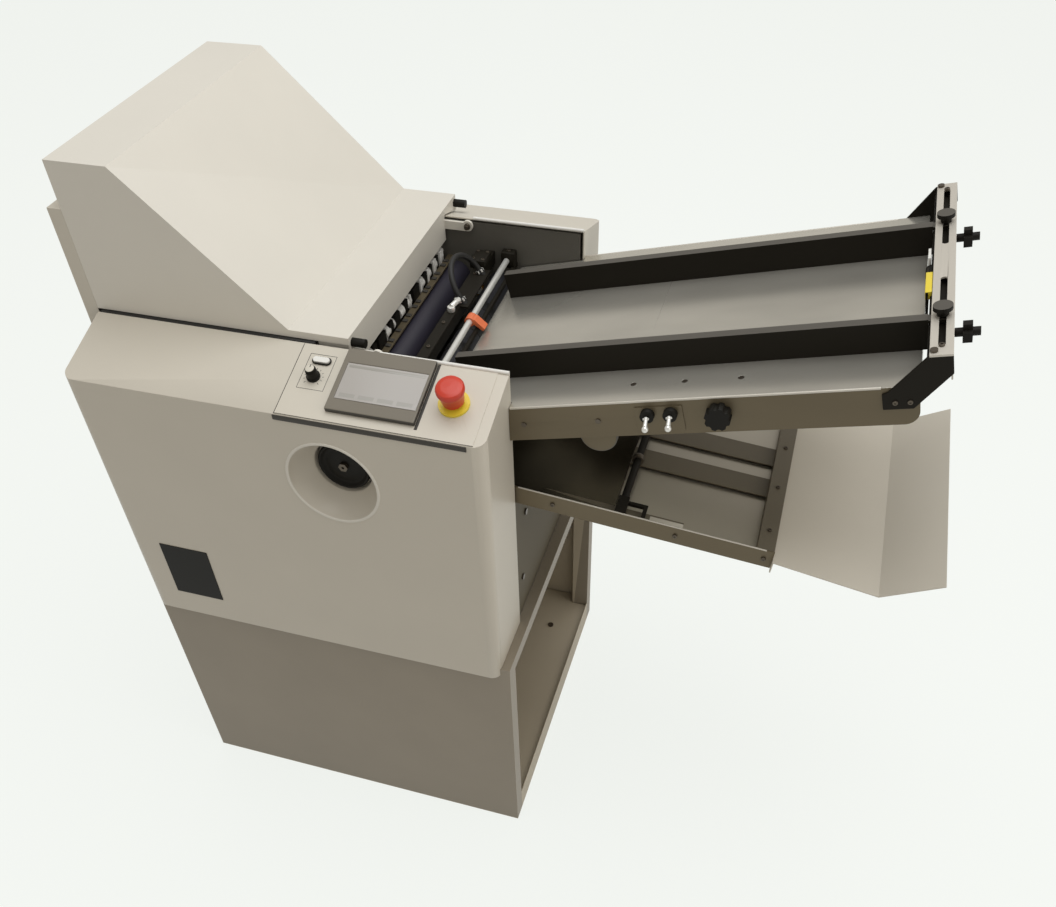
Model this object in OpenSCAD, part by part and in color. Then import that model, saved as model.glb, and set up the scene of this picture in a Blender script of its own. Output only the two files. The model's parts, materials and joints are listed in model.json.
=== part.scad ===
// Buckle paper folding machine on a steel cabinet.
// Row frame: origin at the middle of the cabinet's footprint on the floor, +Z up,
// +X towards the feed table, -Y towards the operator's side with the control panel.

/* [Cabinet] */
// Length of the cabinet, along X
cab_len = 668; // [600:1:760]
// Depth of the cabinet, along Y
cab_depth = 586; // [520:1:640]
// Height of the cabinet
cab_h = 475; // [380:1:560]
// Sheet thickness of the cabinet
cab_wall = 1.5; // [1:0.1:3]
// Width of the return flanges at the open side
cab_flange = 30; // [20:1:45]
// Width of the inner lips of those flanges
cab_lip = 35; // [20:1:50]
// Height of the lip below the open side
plinth_h = 56; // [40:1:90]
// Height of the raised floor
floor_z = 50; // [30:1:80]

/* [Body and covers] */
// Length of the side covers
body_len = 652.5; // [600:0.5:720]
// Width over both side covers
body_w = 649; // [600:1:720]
// How far the body's middle plane lies behind the cabinet's
body_y = 21; // [0:1:30]
// Depth of one side cover
cover_depth = 120.3; // [100:0.1:140]
// Height of the covers' lower edge
cover_low = 460; // [440:1:470]
// Height of the covers' outer top edge
cover_edge_z = 950.5; // [920:0.5:980]
// Slope of the covers' top faces
panel_tilt = 17.5; // [10:0.5:25]
// Sheet thickness of the covers
cover_wall = 2; // [1.2:0.1:3]
// Radius of the covers' upright corners
cover_round = 18; // [8:1:30]
// Thickness of the side frames
frame_t = 8; // [5:0.5:12]
// Height of the side frames' top edge
frame_top = 983; // [960:1:983]
// Thickness of the deck under the side frames
deck_t = 3; // [2:0.5:6]
// Depth of the left end cover
left_cover_t = 23.5; // [15:0.5:40]
// Height of the left end cover's top
left_cover_top = 1146; // [1100:1:1180]
// Height of the delivery slot
slot_h = 44; // [30:1:70]

/* [Hood] */
// Height of the hood's top
hood_top = 1216; // [1190:1:1260]
// Length of the hood's level top
hood_crown = 99; // [60:1:140]
// Length of the level shelf in front of the slope
hood_shelf = 93.5; // [80:0.5:120]
// Where the shelf ends, in from the covers' right end
hood_in = 240.5; // [232:0.5:250]
// Height of the shelf
hood_shelf_z = 1002; // [998:0.5:1012]
// Height of the lip's lower edge
hood_lip_z = 949; // [944:1:965]
// Gap between the front frame and the hood's front side
hood_side_gap = 5.7; // [4:0.1:10]
// How far the hood's rear side stands past the rear frame's inner face
hood_over = 51.5; // [30:0.5:60]
// Sheet thickness of the hood
hood_wall = 1.6; // [1:0.1:3]
// Pivot of the hood, out from the shelf's end
pivot_out = 40.5; // [36:0.5:46]
// How far the hood's pivot lies below the side frames' top
pivot_drop = 5.5; // [5:0.5:12]

/* [Rollers and drive] */
// Radius of the fold rollers
roller_r = 24.8; // [24:0.1:24.9]
// Module of the gears
gear_m = 2; // [2:1:2]
// Teeth of each fold roller's gear
fold_teeth = 25; // [25:1:25]
// Radius of the journals
journal_r = 8; // [6:0.5:10]
// Width of a gear
gear_w = 11; // [8:0.5:11]
// Handwheel and middle roller axis, in from the covers' right end
wheel_in = 237.5; // [234:0.5:242]
// Handwheel and middle roller axis, height
wheel_z = 838.5; // [834:0.5:842]
// Radius of the handwheel
wheel_r = 41.5; // [36:0.5:46]
// Radius of the handwheel's recess
recess_r = 70; // [60:1:80]
// Depth of the handwheel's face in its recess
recess_depth = 39; // [30:1:44]
// Radius of the motor
motor_r = 52; // [40:1:60]
// Motor axis, along X
motor_x = 250; // [220:1:270]
// Motor axis, height
motor_z = 600; // [560:1:640]
// Radius of the belt pulley on the middle roller
pulley_r = 40; // [34:1:46]
// Radius of the motor pulley
motor_pulley_r = 20; // [16:1:26]

/* [Feed table] */
// Slope of the feed table
table_tilt = 14.04; // [10:0.02:18]
// Height of the table surface at the covers' end
table_z = 939.6; // [930:0.2:950]
// Gap between a side frame and the table's flange
table_gap = 2.8; // [2:0.1:6]
// Length of the table beyond the covers
table_len = 530; // [480:1:600]
// Depth of the table's side flanges
table_flange = 54.6; // [45:0.1:65]
// Sheet thickness of the table
table_t = 2; // [1.5:0.1:3]
// Height of the side guides
guide_h = 41; // [30:0.5:42]
// Thickness of the side guides
guide_t = 14; // [10:0.5:18]
// Middle of the near side guide
guide_near_y = -133; // [-140:1:-125]
// Middle of the far side guide
guide_far_y = 105; // [100:1:115]
// Height of the bridge's top
bridge_v = 43; // [43:0.5:48]
// Width of the bridge
bridge_w = 26; // [22:0.5:30]
// Width of the slots in the bridge
slot_w = 8; // [7:0.5:10]

/* [Fold plates] */
// Slope of the lower fold plate
lower_tilt = 5.66; // [3:0.02:8]
// Height of the lower plate's rails at the covers' end
lower_z = 781.1; // [776:0.2:786]
// Gap between a side frame and the lower plate's rail
lower_gap = 4.7; // [3:0.1:8]
// Length of the lower plate beyond the covers
lower_len = 396; // [360:1:430]
// Depth of the lower plate's rails
lower_rail_h = 32; // [26:1:38]
// Width of the flat bars over the lower plate
bar_w = 43; // [30:1:50]
// Place of the lower stop along the plate
lower_stop_s = 162; // [158:1:180]
// Slope of the upper fold plate
upper_tilt = 40; // [38:0.5:41]
// Length of the upper fold plate
upper_len = 420; // [360:1:425]
// Gap between a side frame and the upper plate's rail
upper_gap = 11.2; // [11:0.1:20]
// How far the end tray stands past the lower plate's rails
tray_over = 11; // [4:0.5:16]

/* [Controls] */
// Length of the control panel plate
panel_len = 291; // [286:1:300]
// Right edge of the control panel plate, in from the covers' right end
panel_in = 15.5; // [13:0.5:20]
// Left edge of the screen's bezel, from the panel plate's left edge
screen_at = 72; // [68:1:76]
// Length of the screen's bezel
screen_len = 132; // [124:1:134]
// Height of the bezel up the slope
screen_up = 106; // [98:1:108]
// Emergency stop, in from the panel plate's right edge
estop_in = 44.5; // [40:0.5:47]
// Radius of the emergency stop's red button
estop_r = 20; // [16:0.5:22]
// Speed knob, from the panel plate's left edge
knob_at = 34.5; // [30:0.5:38]
// Radius of the speed knob
knob_r = 10; // [8:0.5:12]

/* [Hidden] */
$fn = 64;

fit = 0.05;                                       // radial clearance of a running fit
gap = 0.3;                                        // clearance between pieces that pass each other
body_x = 0.5 - cab_len / 2;                       // left end of the covers in the row frame
half_w = body_w / 2;
frame_in = half_w - cover_depth;                  // inner face of a side frame
frame_out = frame_in + frame_t;
wheel_x = body_len - wheel_in;
hood_end_x = body_len - hood_in;
hood_slope_x = hood_end_x - hood_shelf;
hood_front = frame_in - hood_side_gap;
hood_rear = frame_in + hood_over;
pivot_x = hood_end_x + pivot_out;
pivot_z = frame_top - pivot_drop;
pin_r = 3.5;                                      // pins of the hood
lug_r = 9;
panel_x1 = body_len - panel_in;
panel_x0 = panel_x1 - panel_len;
screen_x0 = panel_x0 + screen_at;
estop_x = panel_x1 - estop_in;
knob_x = panel_x0 + knob_at;
knob_v = 70;                                      // places up the panel's slope
key_x = knob_x + 2.5;
key_v = 98;
estop_v = 62;
cover_top = cover_edge_z + cover_depth * tan(panel_tilt);
slope_len = cover_depth / cos(panel_tilt);
frame_low = cab_h + deck_t;
frame_end = body_len - 6.5;
table_half = frame_out + table_gap + table_t;
table_start = 0.6;                                // gap between the covers' end and the table
screw_r = 2.5;                                    // screws that hold the table to the frames' arms
rail_screws = [16, 125];
rail_screw_v = -28;
table_knob_at = [289.6, -24.5];
apron_half = frame_in - 2.2;
apron_start = -112;
bridge_t = 3;
bridge_u = 552;
bracket_t = 3;
slot_in = 43;                                     // slots of the bridge, from the middle plane
slot_out = frame_in - 3.2;
lower_half = frame_in - lower_gap;
lower_rail_t = 3;
upper_rail_t = 3;
upper_half = frame_in - upper_gap - upper_rail_t;
lower_start = -222;
end_stop_y = [-75, -10];

// Roller axes, worked along the paper's path from the handwheel's axis
pitch_r = gear_m * fold_teeth / 2;
function step_from(p, dist, ang) = [p[0] + dist * cos(ang), p[1] + dist * sin(ang)];
ang_up = 77.3;                                    // middle roller to upper roller
ang_down = 228.7;                                 // middle roller to lower roller
ang_bottom = 264;                                 // lower roller to bottom roller
ang_exit = 168.5;                                 // bottom roller to exit roller
ang_feed = 23.7;                                  // middle roller to feed roller
exit_teeth = 16;
idler_teeth = 27;
feed_teeth = 22;
exit_r = 15.5;
feed_r = 22;
p_mid = [wheel_x, wheel_z];
p_up = step_from(p_mid, 2 * pitch_r, ang_up);
p_low = step_from(p_mid, 2 * pitch_r, ang_down);
p_bot = step_from(p_low, 2 * pitch_r, ang_bottom);
p_exit = step_from(p_bot, gear_m * (fold_teeth + exit_teeth) / 2, ang_exit);
p_idle = step_from(p_mid, gear_m * (fold_teeth + idler_teeth) / 2, ang_feed);
p_feed = step_from(p_idle, gear_m * (idler_teeth + feed_teeth) / 2, ang_feed);
// Tooth angle of a gear that meshes with one whose tooth stands at angle a0
function mesh_angle(a0, ang, na, nb) = ang + 180 - (a0 - ang) * na / nb + 180 / nb;
a_mid = ang_feed;
a_up = mesh_angle(a_mid, ang_up, fold_teeth, fold_teeth);
a_low = mesh_angle(a_mid, ang_down, fold_teeth, fold_teeth);
a_bot = mesh_angle(a_low, ang_bottom, fold_teeth, fold_teeth);
a_exit = mesh_angle(a_bot, ang_exit, fold_teeth, exit_teeth);
a_idle = mesh_angle(a_mid, ang_feed, fold_teeth, idler_teeth);
a_feed = mesh_angle(a_idle, ang_feed, idler_teeth, feed_teeth);
gear_y = frame_out + 10;                          // first plane of gears
gear2_y = gear_y + gear_w + 2;                    // second plane of gears
pulley_y = gear2_y + gear_w + 4;
pulley_w = 12;
bush_r = 14;
bush_flange = 2;
roller_half = frame_in - 4;
wheel_y = half_w - recess_depth;                  // the handwheel's face, on the operator's side
wheel_t = 14;
rod_x = body_len - 129.5;                         // chrome rod over the paper's front edge
rod_z = 930;
rod_r = 5;
beam_x = rod_x - 35;
beam_z = 925;
collar_x = hood_end_x - 14;
collar_z = 925;
hose_x = beam_x + 10;                             // the hose rises here from the beam's top
hose_y = 82;
hose_r = 4.5;
hose_bend = 46;                                   // radius of the hose's bend
hose_leg = 8;
hose_lean = 32;                                   // how far the loop leans towards the hood
beam_half = 9;
beam_top = beam_z + 11;
upper_x = wheel_x - 22;                           // mouth of the upper fold plate
upper_z = 884;

// Frames of reference
module machine() translate([body_x, body_y, 0]) children();
module on_table() machine() translate([body_len, 0, table_z]) rotate([0, -table_tilt, 0]) children();
module on_lower() machine() translate([body_len, 0, lower_z]) rotate([0, lower_tilt, 0]) children();
module on_upper() machine() translate([upper_x, 0, upper_z]) rotate([0, 180 + upper_tilt, 0]) children();
module on_panel() machine() translate([0, -half_w, cover_edge_z]) rotate([panel_tilt, 0, 0]) children();

// A bar that runs along Y at [x, z], from y0 to y1
module rod_y(p, r, y0, y1) translate([p[0], y1, p[1]]) rotate([90, 0, 0]) cylinder(r = r, h = y1 - y0);
// A block given by its two corners
module block(a, b) translate(a) cube(b - a);
// A flat outline in X and Z, thick along Y from y0 to y1
module plate_y(y0, y1) translate([0, y1, 0]) rotate([90, 0, 0]) linear_extrude(y1 - y0) children();
// The same piece on both sides of the middle plane
module both_sides() {
    children();
    mirror([0, 1, 0]) children();
}

module gear_outline(teeth, a0) {
    step = 360 / teeth;
    rp = gear_m * teeth / 2;
    root = rp - 1.2 * gear_m;
    tip = rp + 0.85 * gear_m;
    polygon([for (i = [0 : teeth - 1], k = [[root, -0.27], [tip, -0.1], [tip, 0.1], [root, 0.27]])
        k[0] * [cos(a0 + step * (i + k[1])), sin(a0 + step * (i + k[1]))]]);
}
module gear_at(p, teeth, a0, y0, y1) translate([p[0], 0, p[1]]) plate_y(y0, y1) difference() {
    gear_outline(teeth, a0);
    circle(r = journal_r);
}
// A roller between the side frames, with its journals and its gear
module roller(p, r, teeth, a0, gy, front_y, rear_y) machine() {
    rod_y(p, r, -roller_half, roller_half);
    rod_y(p, journal_r, -front_y, -roller_half);
    rod_y(p, journal_r, roller_half, rear_y);
    gear_at(p, teeth, a0, gy, gy + gear_w);
}

// ---- Cabinet ----
module cabinet_outline() {
    w = cab_wall;
    x = cab_len / 2;
    y = cab_depth / 2;
    translate([-x, -y]) square([cab_len, w]);
    translate([-x, y - w]) square([cab_len, w]);
    translate([-x, -y]) square([w, cab_depth]);
    for (s = [-1, 1]) scale([1, s]) {
        translate([x - w, y - cab_flange]) square([w, cab_flange]);
        translate([x - cab_lip, y - cab_flange]) square([cab_lip, w]);
    }
}
module cabinet_shell() color("dimgray") {
    translate([0, 0, cab_wall]) linear_extrude(cab_h - 2 * cab_wall) union() {
        cabinet_outline();
        mirror([0, 1]) cabinet_outline();
    }
    x = cab_len / 2;
    y = cab_depth / 2;
    union() {
        block([-x, -y, cab_h - cab_wall], [x, y, cab_h]);
        block([x - cab_wall, -y + cab_flange, cab_h - 27], [x, y - cab_flange, cab_h]);
    }
}
module cabinet_base() color("gray") {
    x = cab_len / 2;
    y = cab_depth / 2;
    union() {
        block([-x, -y, 0], [x, y, cab_wall]);
        block([x - cab_wall, -y + cab_flange, 0], [x, y - cab_flange, plinth_h]);
    }
    // raised floor with its down-turned sides, notched round the corner lips
    difference() {
        block([-x + 4, -y + 4, cab_wall], [x - cab_wall, y - 4, floor_z]);
        block([-x + 4 + cab_wall, -y + 4 + cab_wall, 0],
            [x - 2 * cab_wall, y - 4 - cab_wall, floor_z - cab_wall]);
        for (s = [-1, 1]) scale([1, s, 1])
            block([x - cab_lip - 1, y - cab_flange - 1, 0], [x + 1, y, floor_z + 1]);
    }
}

// ---- Frame ----
module machine_deck() color("silver") machine() {
    block([2, -frame_out, cab_h], [frame_end + 2, frame_out, frame_low]);
    for (p = [[60, 560], [body_len - 62.5, 560], [60, 880]]) rod_y(p, 10, -frame_in, frame_in);
    // sheet that carries the folded paper to the delivery slot
    block([0, -frame_in, slot_z - 18], [p_exit[0] - exit_r - 6, frame_in, slot_z - 16]);
}
module end_panel() color("darkgray") machine()
    block([frame_end, -frame_out, frame_low], [frame_end + 2, frame_out, 742]);

bearing_axes = [p_up, p_mid, p_low, p_bot, p_exit, p_feed, p_idle];
module frame_outline() {
    polygon([[-3, frame_low], [frame_end, frame_low], [frame_end, frame_top], [-3, frame_top]]);
    // arm under the feed table, with its round lobe
    translate([body_len, table_z]) rotate(table_tilt) {
        translate([-40, -48]) square([190, 38]);
        translate([118.5, -56]) circle(r = 26.5);
    }
}
module side_frame(rear) machine() difference() {
    plate_y(rear ? frame_in : -frame_out, rear ? frame_out : -frame_in) difference() {
        frame_outline();
        for (p = bearing_axes) translate(p) circle(r = bush_r + 0.02);
        translate([pivot_x, pivot_z]) circle(r = pin_r + fit);
        if (rear) translate([motor_x, motor_z]) circle(r = 30 + fit);
        translate([body_len, table_z]) rotate(table_tilt)
            for (u = rail_screws) translate([u, rail_screw_v]) circle(r = screw_r + fit);
    }
}
module front_frame() color("gray") side_frame(false);
module rear_frame() color("gray") side_frame(true);
module bearings() color("goldenrod") machine() for (p = bearing_axes) both_sides() difference() {
    union() {
        rod_y(p, bush_r, frame_in, frame_out);
        rod_y(p, bush_r + 4, frame_out, frame_out + bush_flange);
    }
    rod_y(p, journal_r + fit, frame_in - 1, frame_out + bush_flange + 1);
}

// ---- Covers ----
module cover_solid(inset) {
    r = cover_round - inset;
    t = inset / cos(panel_tilt);
    intersection() {
        // side view of the cover, drawn in Y and Z
        rotate([90, 0, 90]) linear_extrude(body_len) polygon([
            [-half_w + inset, cover_low - (inset > 0 ? 1 : 0)],
            [-half_w + inset, cover_edge_z - t + inset * tan(panel_tilt)],
            [-frame_in + (inset > 0 ? 1 : 0), cover_top - t + (inset > 0 ? tan(panel_tilt) : 0)],
            [-frame_in + (inset > 0 ? 1 : 0), cover_low - (inset > 0 ? 1 : 0)]]);
        // plan of the cover, with round upright corners
        linear_extrude(2000) union() {
            translate([inset + r, -half_w + inset + r]) circle(r = r);
            translate([body_len - inset - r, -half_w + inset + r]) circle(r = r);
            translate([inset + r, -half_w + inset]) square([body_len - 2 * (inset + r), half_w]);
            translate([inset, -half_w + inset + r]) square([body_len - 2 * inset, half_w]);
        }
    }
}
// cab_y is where the cabinet's side lies under this cover, from the middle plane
module side_cover(cab_y) difference() {
    cover_solid(0);
    cover_solid(cover_wall);
    block([-1, -cab_y - gap, cover_low - 1], [body_len + 1, 1, cab_h + gap]);
    // the left end wall stops short of the side frame
    block([-1, -frame_out - gap, cover_low - 1], [cover_wall + 1, 1, frame_top + 0.4]);
    // notch for the frame's arm under the feed table
    block([body_len - 20, -frame_out - 0.5, table_z - 62], [body_len + 1, -frame_in + 1, table_z - 2]);
}
collar_stem = 10.9;
knob_stem = 3.4;
key_stem = 3.6;
module control_bores()
    for (c = [[estop_x, estop_v, collar_stem], [knob_x, knob_v, knob_stem], [key_x, key_v, key_stem]])
        translate([c[0], c[1], -5]) cylinder(r = c[2] + 0.1, h = 10);
module front_cover() color("lightgray") machine() difference() {
    side_cover(cab_depth / 2 + body_y);
    rod_y(p_mid, recess_r + 2.3, -half_w - 1, -half_w + cover_wall + 3);
    // seats of the controls that reach through the sloped face
    translate([0, -half_w, cover_edge_z]) rotate([panel_tilt, 0, 0]) control_bores();
}
inlet_x = 120;
inlet_z = 520;
module rear_cover() color("lightgray") machine() difference() {
    mirror([0, 1, 0]) side_cover(cab_depth / 2 - body_y);
    block([inlet_x - 14, half_w - 5, inlet_z - 10.5], [inlet_x + 14, half_w + 1, inlet_z + 10.5]);
}
module power_inlet() color("black") machine() difference() {
    union() {
        block([inlet_x - 25, half_w, inlet_z - 12.5], [inlet_x + 25, half_w + 3, inlet_z + 12.5]);
        block([inlet_x - 13.7, half_w - 24, inlet_z - 10.2], [inlet_x + 13.7, half_w, inlet_z + 10.2]);
    }
    block([inlet_x - 12, half_w - 16, inlet_z - 8], [inlet_x + 12, half_w + 4, inlet_z + 8]);
}
slot_z = p_exit[1] + exit_r;
left_x = -3 - gap;                                // the left end cover's open side
left_low = 560;
module left_end_cover() color("lightgray") machine() {
    difference() {
        union() {
            difference() {
                block([left_x - left_cover_t, -hood_front, left_low], [left_x, hood_front, left_cover_top]);
                block([left_x - left_cover_t + cover_wall, -hood_front + cover_wall, left_low - 1],
                    [0, hood_front - cover_wall, left_cover_top - cover_wall]);
            }
            // ears that seat on the frames' ends
            both_sides() for (z = [620, 860]) {
                block([-6, hood_front - 8, z], [-3, frame_out, z + 80]);
            }
        }
        block([-60, -170, slot_z - slot_h / 2], [0, 170, slot_z + slot_h / 2]);
    }
}

// ---- Hood ----
hood_slope = atan2(hood_top - hood_shelf_z, hood_slope_x - hood_crown + 3);
function hood_points(t) = let (q = t * tan(hood_slope / 2))
    [[-3 + t, 0], [-3 + t, hood_top - t], [hood_crown - 3 - q, hood_top - t],
    [hood_slope_x - q, hood_shelf_z - t], [hood_end_x - t, hood_shelf_z - t], [hood_end_x - t, 0]];
module hood_block(t, y0, y1) plate_y(y0, y1) intersection() {
    polygon(hood_points(t));
    translate([-10, 900]) square([hood_end_x + 20, hood_top]);
}
// What lies below the hood's skirt, from x0 to x1
skirt_gap = 2.5;
module skirt_cut(x0, x1) translate([x0, 0, 0]) rotate([90, 0, 90]) linear_extrude(x1 - x0)
    polygon([[-half_w, 800], [half_w, 800], [half_w, cover_edge_z + skirt_gap],
        [frame_in, cover_top + skirt_gap], [-half_w, cover_top + skirt_gap]]);
arm_t = 5;
module hood() color("gainsboro") machine() {
    union() {
        difference() {
            hood_block(0, -hood_front, hood_rear);
            hood_block(hood_wall, -hood_front + hood_wall, hood_rear - hood_wall);
            // the skirt ends above the covers, and the lip reaches down between the frames
            skirt_cut(-20, hood_end_x - hood_wall);
            intersection() {
                skirt_cut(hood_end_x - 60, hood_end_x + 5);
                union() {
                    block([0, frame_in - 6, 800], [body_len, half_w, hood_top]);
                    block([0, -half_w, 800], [body_len, -frame_in + 6, hood_top]);
                }
            }
            block([hood_end_x - 60, -half_w, 800], [hood_end_x + 5, half_w, hood_lip_z]);
        }
        // arms that carry the hood on its two pins
        for (y = [-hood_front + hood_wall + 1, frame_in - 1 - arm_t]) difference() {
            plate_y(y, y + arm_t) union() {
                translate([pivot_x, pivot_z]) circle(r = lug_r);
                // the arm's top edge stays below the barrels
                translate([hood_end_x - 50, pivot_z - lug_r]) square([pivot_out + 50, 1.6 * lug_r]);
                translate([hood_end_x - 50, pivot_z - 1]) square([48.5, hood_shelf_z - pivot_z]);
            }
            rod_y([pivot_x, pivot_z], pin_r + fit, -half_w, half_w);
        }
    }
}
bumper_z = 990;
module hood_bumpers() color("black") machine() for (y = [-hood_front + 11, hood_rear - 7])
    translate([hood_end_x, y, bumper_z]) rotate([0, 90, 0]) cylinder(r = 6.5, h = 21);

// ---- Controls ----
well_r = wheel_r + 4.5;                           // radius of the well round the handwheel
well_y = wheel_y - wheel_t - 4;
cup_t = 2;
// Radius of the bowl at the share f of its depth
function cup_r(f) = well_r + (recess_r - well_r) * (1 - pow(f, 1.5));
module handwheel_cup() color("lightgray") machine() translate([wheel_x, 0, wheel_z]) rotate([90, 0, 0])
    rotate_extrude() polygon(concat(
        [for (i = [0 : 6]) [cup_r(i / 6), half_w - recess_depth * i / 6]],
        [[well_r, well_y], [12, well_y], [12, well_y - cup_t], [well_r + cup_t, well_y - cup_t]],
        [for (i = [6 : -1 : 0]) [cup_r(i / 6) + cup_t, half_w - recess_depth * i / 6 - (i > 0 ? 0.8 : 0)]]));
plate_h = 1;
module panel_plate() color("silver") on_panel() difference() {
    block([panel_x0, 1, 0], [panel_x1, slope_len - 2, plate_h]);
    control_bores();
}
bezel_h = 8;
screen_v = 17;
screen_rim = [8, 20, 4, 25];                      // bezel left, below, right and above the glass
module screen_window(z0, z1) block([screen_x0 + screen_rim[0], screen_v + screen_rim[1], z0],
    [screen_x0 + screen_len - screen_rim[2], screen_v + screen_up - screen_rim[3], z1]);
module screen_bezel() color("dimgray") on_panel() difference() {
    block([screen_x0, screen_v, plate_h], [screen_x0 + screen_len, screen_v + screen_up, plate_h + bezel_h]);
    screen_window(plate_h + bezel_h - 2, plate_h + bezel_h + 1);
}
module screen_glass() color("darkslategray") on_panel()
    screen_window(plate_h + bezel_h - 2, plate_h + bezel_h - 0.5);
module speed_knob() color("black") on_panel() translate([knob_x, knob_v, plate_h + gap]) union() {
    translate([0, 0, -7]) cylinder(r = knob_stem, h = 8);
    cylinder(r = knob_r, h = 3.5);
    cylinder(r1 = knob_r - 1, r2 = knob_r - 2, h = 15.5);
    cylinder(r = knob_r - 3, h = 19);
}
key_half = [8, 4.5];                              // half the straight part, and the round ends' radius
module start_key() color("white") on_panel() translate([key_x, key_v, plate_h + 2]) union() {
    translate([0, 0, -8]) cylinder(r = key_stem, h = 9);
    linear_extrude(3) union() {
        for (s = [-1, 1]) translate([s * key_half[0], 0]) circle(r = key_half[1]);
        translate([-key_half[0], -key_half[1]]) square(2 * key_half);
    }
}
estop_stem = 8;
boss_r = 12;
module estop_collar() color("gold") on_panel() translate([estop_x, estop_v, plate_h]) difference() {
    union() {
        translate([0, 0, -15]) cylinder(r = collar_stem, h = 15);
        cylinder(r = estop_r + 2, h = 4);
        cylinder(r = boss_r, h = 13);
    }
    translate([0, 0, -11]) cylinder(r = estop_stem + fit, h = 40);
}
module estop_button() color("red") on_panel() translate([estop_x, estop_v, plate_h]) rotate_extrude()
    polygon([[0, -6], [estop_stem, -6], [estop_stem, 17.2], [boss_r + 0.6, 17.2], [boss_r + 0.6, 8.5],
        [estop_r - 4.5, 8.5], [estop_r - 4, 15], [estop_r - 2, 25], [estop_r, 31], [estop_r, 36],
        [estop_r - 1.8, 39], [estop_r - 7, 40.8], [0, 41.4]]);
module name_plate() color("black") machine()
    block([57, -half_w - 1, 512], [147, -half_w, 628]);

// ---- Rollers and drive ----
module roller_upper() color("midnightblue")
    roller(p_up, roller_r, fold_teeth, a_up, gear_y, frame_out + 4, gear_y + gear_w);
module roller_middle() color("dimgray") {
    roller(p_mid, roller_r, fold_teeth, a_mid, gear_y, wheel_y - 7, pulley_y + pulley_w);
    machine() gear_at(p_mid, fold_teeth, a_mid, gear2_y, gear2_y + gear_w);
    machine() difference() {
        rod_y(p_mid, pulley_r, pulley_y, pulley_y + pulley_w);
        rod_y(p_mid, journal_r, pulley_y - 1, pulley_y + pulley_w + 1);
    }
}
module roller_lower() color("dimgray")
    roller(p_low, roller_r, fold_teeth, a_low, gear_y, frame_out + 4, gear_y + gear_w);
module roller_bottom() color("dimgray")
    roller(p_bot, roller_r, fold_teeth, a_bot, gear_y, frame_out + 4, gear_y + gear_w);
module exit_roller() color("black")
    roller(p_exit, exit_r, exit_teeth, a_exit, gear_y, frame_out + 4, gear_y + gear_w);
module feed_roller() color("black")
    roller(p_feed, feed_r, feed_teeth, a_feed, gear2_y, frame_out + 4, gear2_y + gear_w);
module idler_gear() color("silver") machine() {
    gear_at(p_idle, idler_teeth, a_idle, gear2_y, gear2_y + gear_w);
    rod_y(p_idle, journal_r, frame_in - 3, gear2_y + gear_w);
    rod_y(p_idle, journal_r, -frame_out - 4, -frame_in + 3);
}
module handwheel() color("black") machine() translate([wheel_x, 0, wheel_z]) rotate([90, 0, 0])
    rotate_extrude() polygon([[bolt_r + fit, wheel_y - 7], [bolt_r + fit, wheel_y - 3], [14, wheel_y - 3],
        [wheel_r - 19, wheel_y - 3.6], [wheel_r - 12.5, wheel_y - 4.8], [wheel_r - 8.5, wheel_y - 5],
        [wheel_r - 6, wheel_y - 2.8], [wheel_r - 4, wheel_y - 0.7], [wheel_r - 2.3, wheel_y],
        [wheel_r - 0.7, wheel_y - 1], [wheel_r, wheel_y - 3], [wheel_r, wheel_y - wheel_t + 2],
        [wheel_r - 2, wheel_y - wheel_t], [journal_r, wheel_y - wheel_t], [journal_r, wheel_y - 7]]);
bolt_r = 4;
module handwheel_bolt() color("silver") machine() difference() {
    union() {
        rod_y(p_mid, bolt_r, -wheel_y + 3, -wheel_y + 7);
        translate([wheel_x, -wheel_y + 3, wheel_z]) rotate([90, 0, 0]) cylinder(r = 7.5, h = 5, $fn = 6);
    }
    rod_y(p_mid, 2.2, -wheel_y - 3, -wheel_y);
}
module motor() color("dimgray") machine() difference() {
    p = [motor_x, motor_z];
    union() {
        rod_y(p, motor_r, frame_in - 150, frame_in - 6);
        block([motor_x - 55, frame_in - 6, motor_z - 55], [motor_x + 55, frame_in, motor_z + 55]);
        rod_y(p, 30, frame_in, frame_out);
    }
    rod_y(p, journal_r + fit, frame_in - 20, frame_out + 1);
}
module motor_pulley() color("silver") machine() {
    rod_y([motor_x, motor_z], journal_r, frame_in - 15, pulley_y);
    rod_y([motor_x, motor_z], motor_pulley_r, pulley_y, pulley_y + pulley_w);
}
// Outline of a belt round both pulleys, t outside their rims
function arc_points(c, r, a0, a1, n) =
    [for (i = [0 : n]) let (a = a0 + (a1 - a0) * i / n) c + r * [cos(a), sin(a)]];
module belt_outline(t) {
    m = [motor_x, motor_z];
    d = p_mid - m;
    run = norm(d);
    a = atan2(d[1], d[0]);
    b = acos((motor_pulley_r - pulley_r) / run);
    polygon(concat(arc_points(p_mid, pulley_r + t, a - b, a + b, 24),
        arc_points(m, motor_pulley_r + t, a + b, a + 360 - b, 20)));
}
module drive_belt() color("black") machine() plate_y(pulley_y + 1, pulley_y + pulley_w - 1) difference() {
    belt_outline(3);
    belt_outline(gap);
}

// ---- Upper fold plate: here +X runs up the plate and -Z faces up ----
upper_stop_s = 300;
module upper_plate() color("silver") on_upper() {
    union() {
        for (v = [-5, 3]) block([10, -upper_half, v], [upper_len, upper_half, v + 2]);
        both_sides() block([10, upper_half, -14], [upper_len, upper_half + upper_rail_t, 14]);
    }
    both_sides() block([30, upper_half + upper_rail_t, -10], [70, frame_in, 10]);
}
module upper_stop() color("gray") on_upper()
    block([upper_stop_s, -upper_half + 2, -2.5], [upper_stop_s + 14, upper_half - 2, 2.5]);

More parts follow.
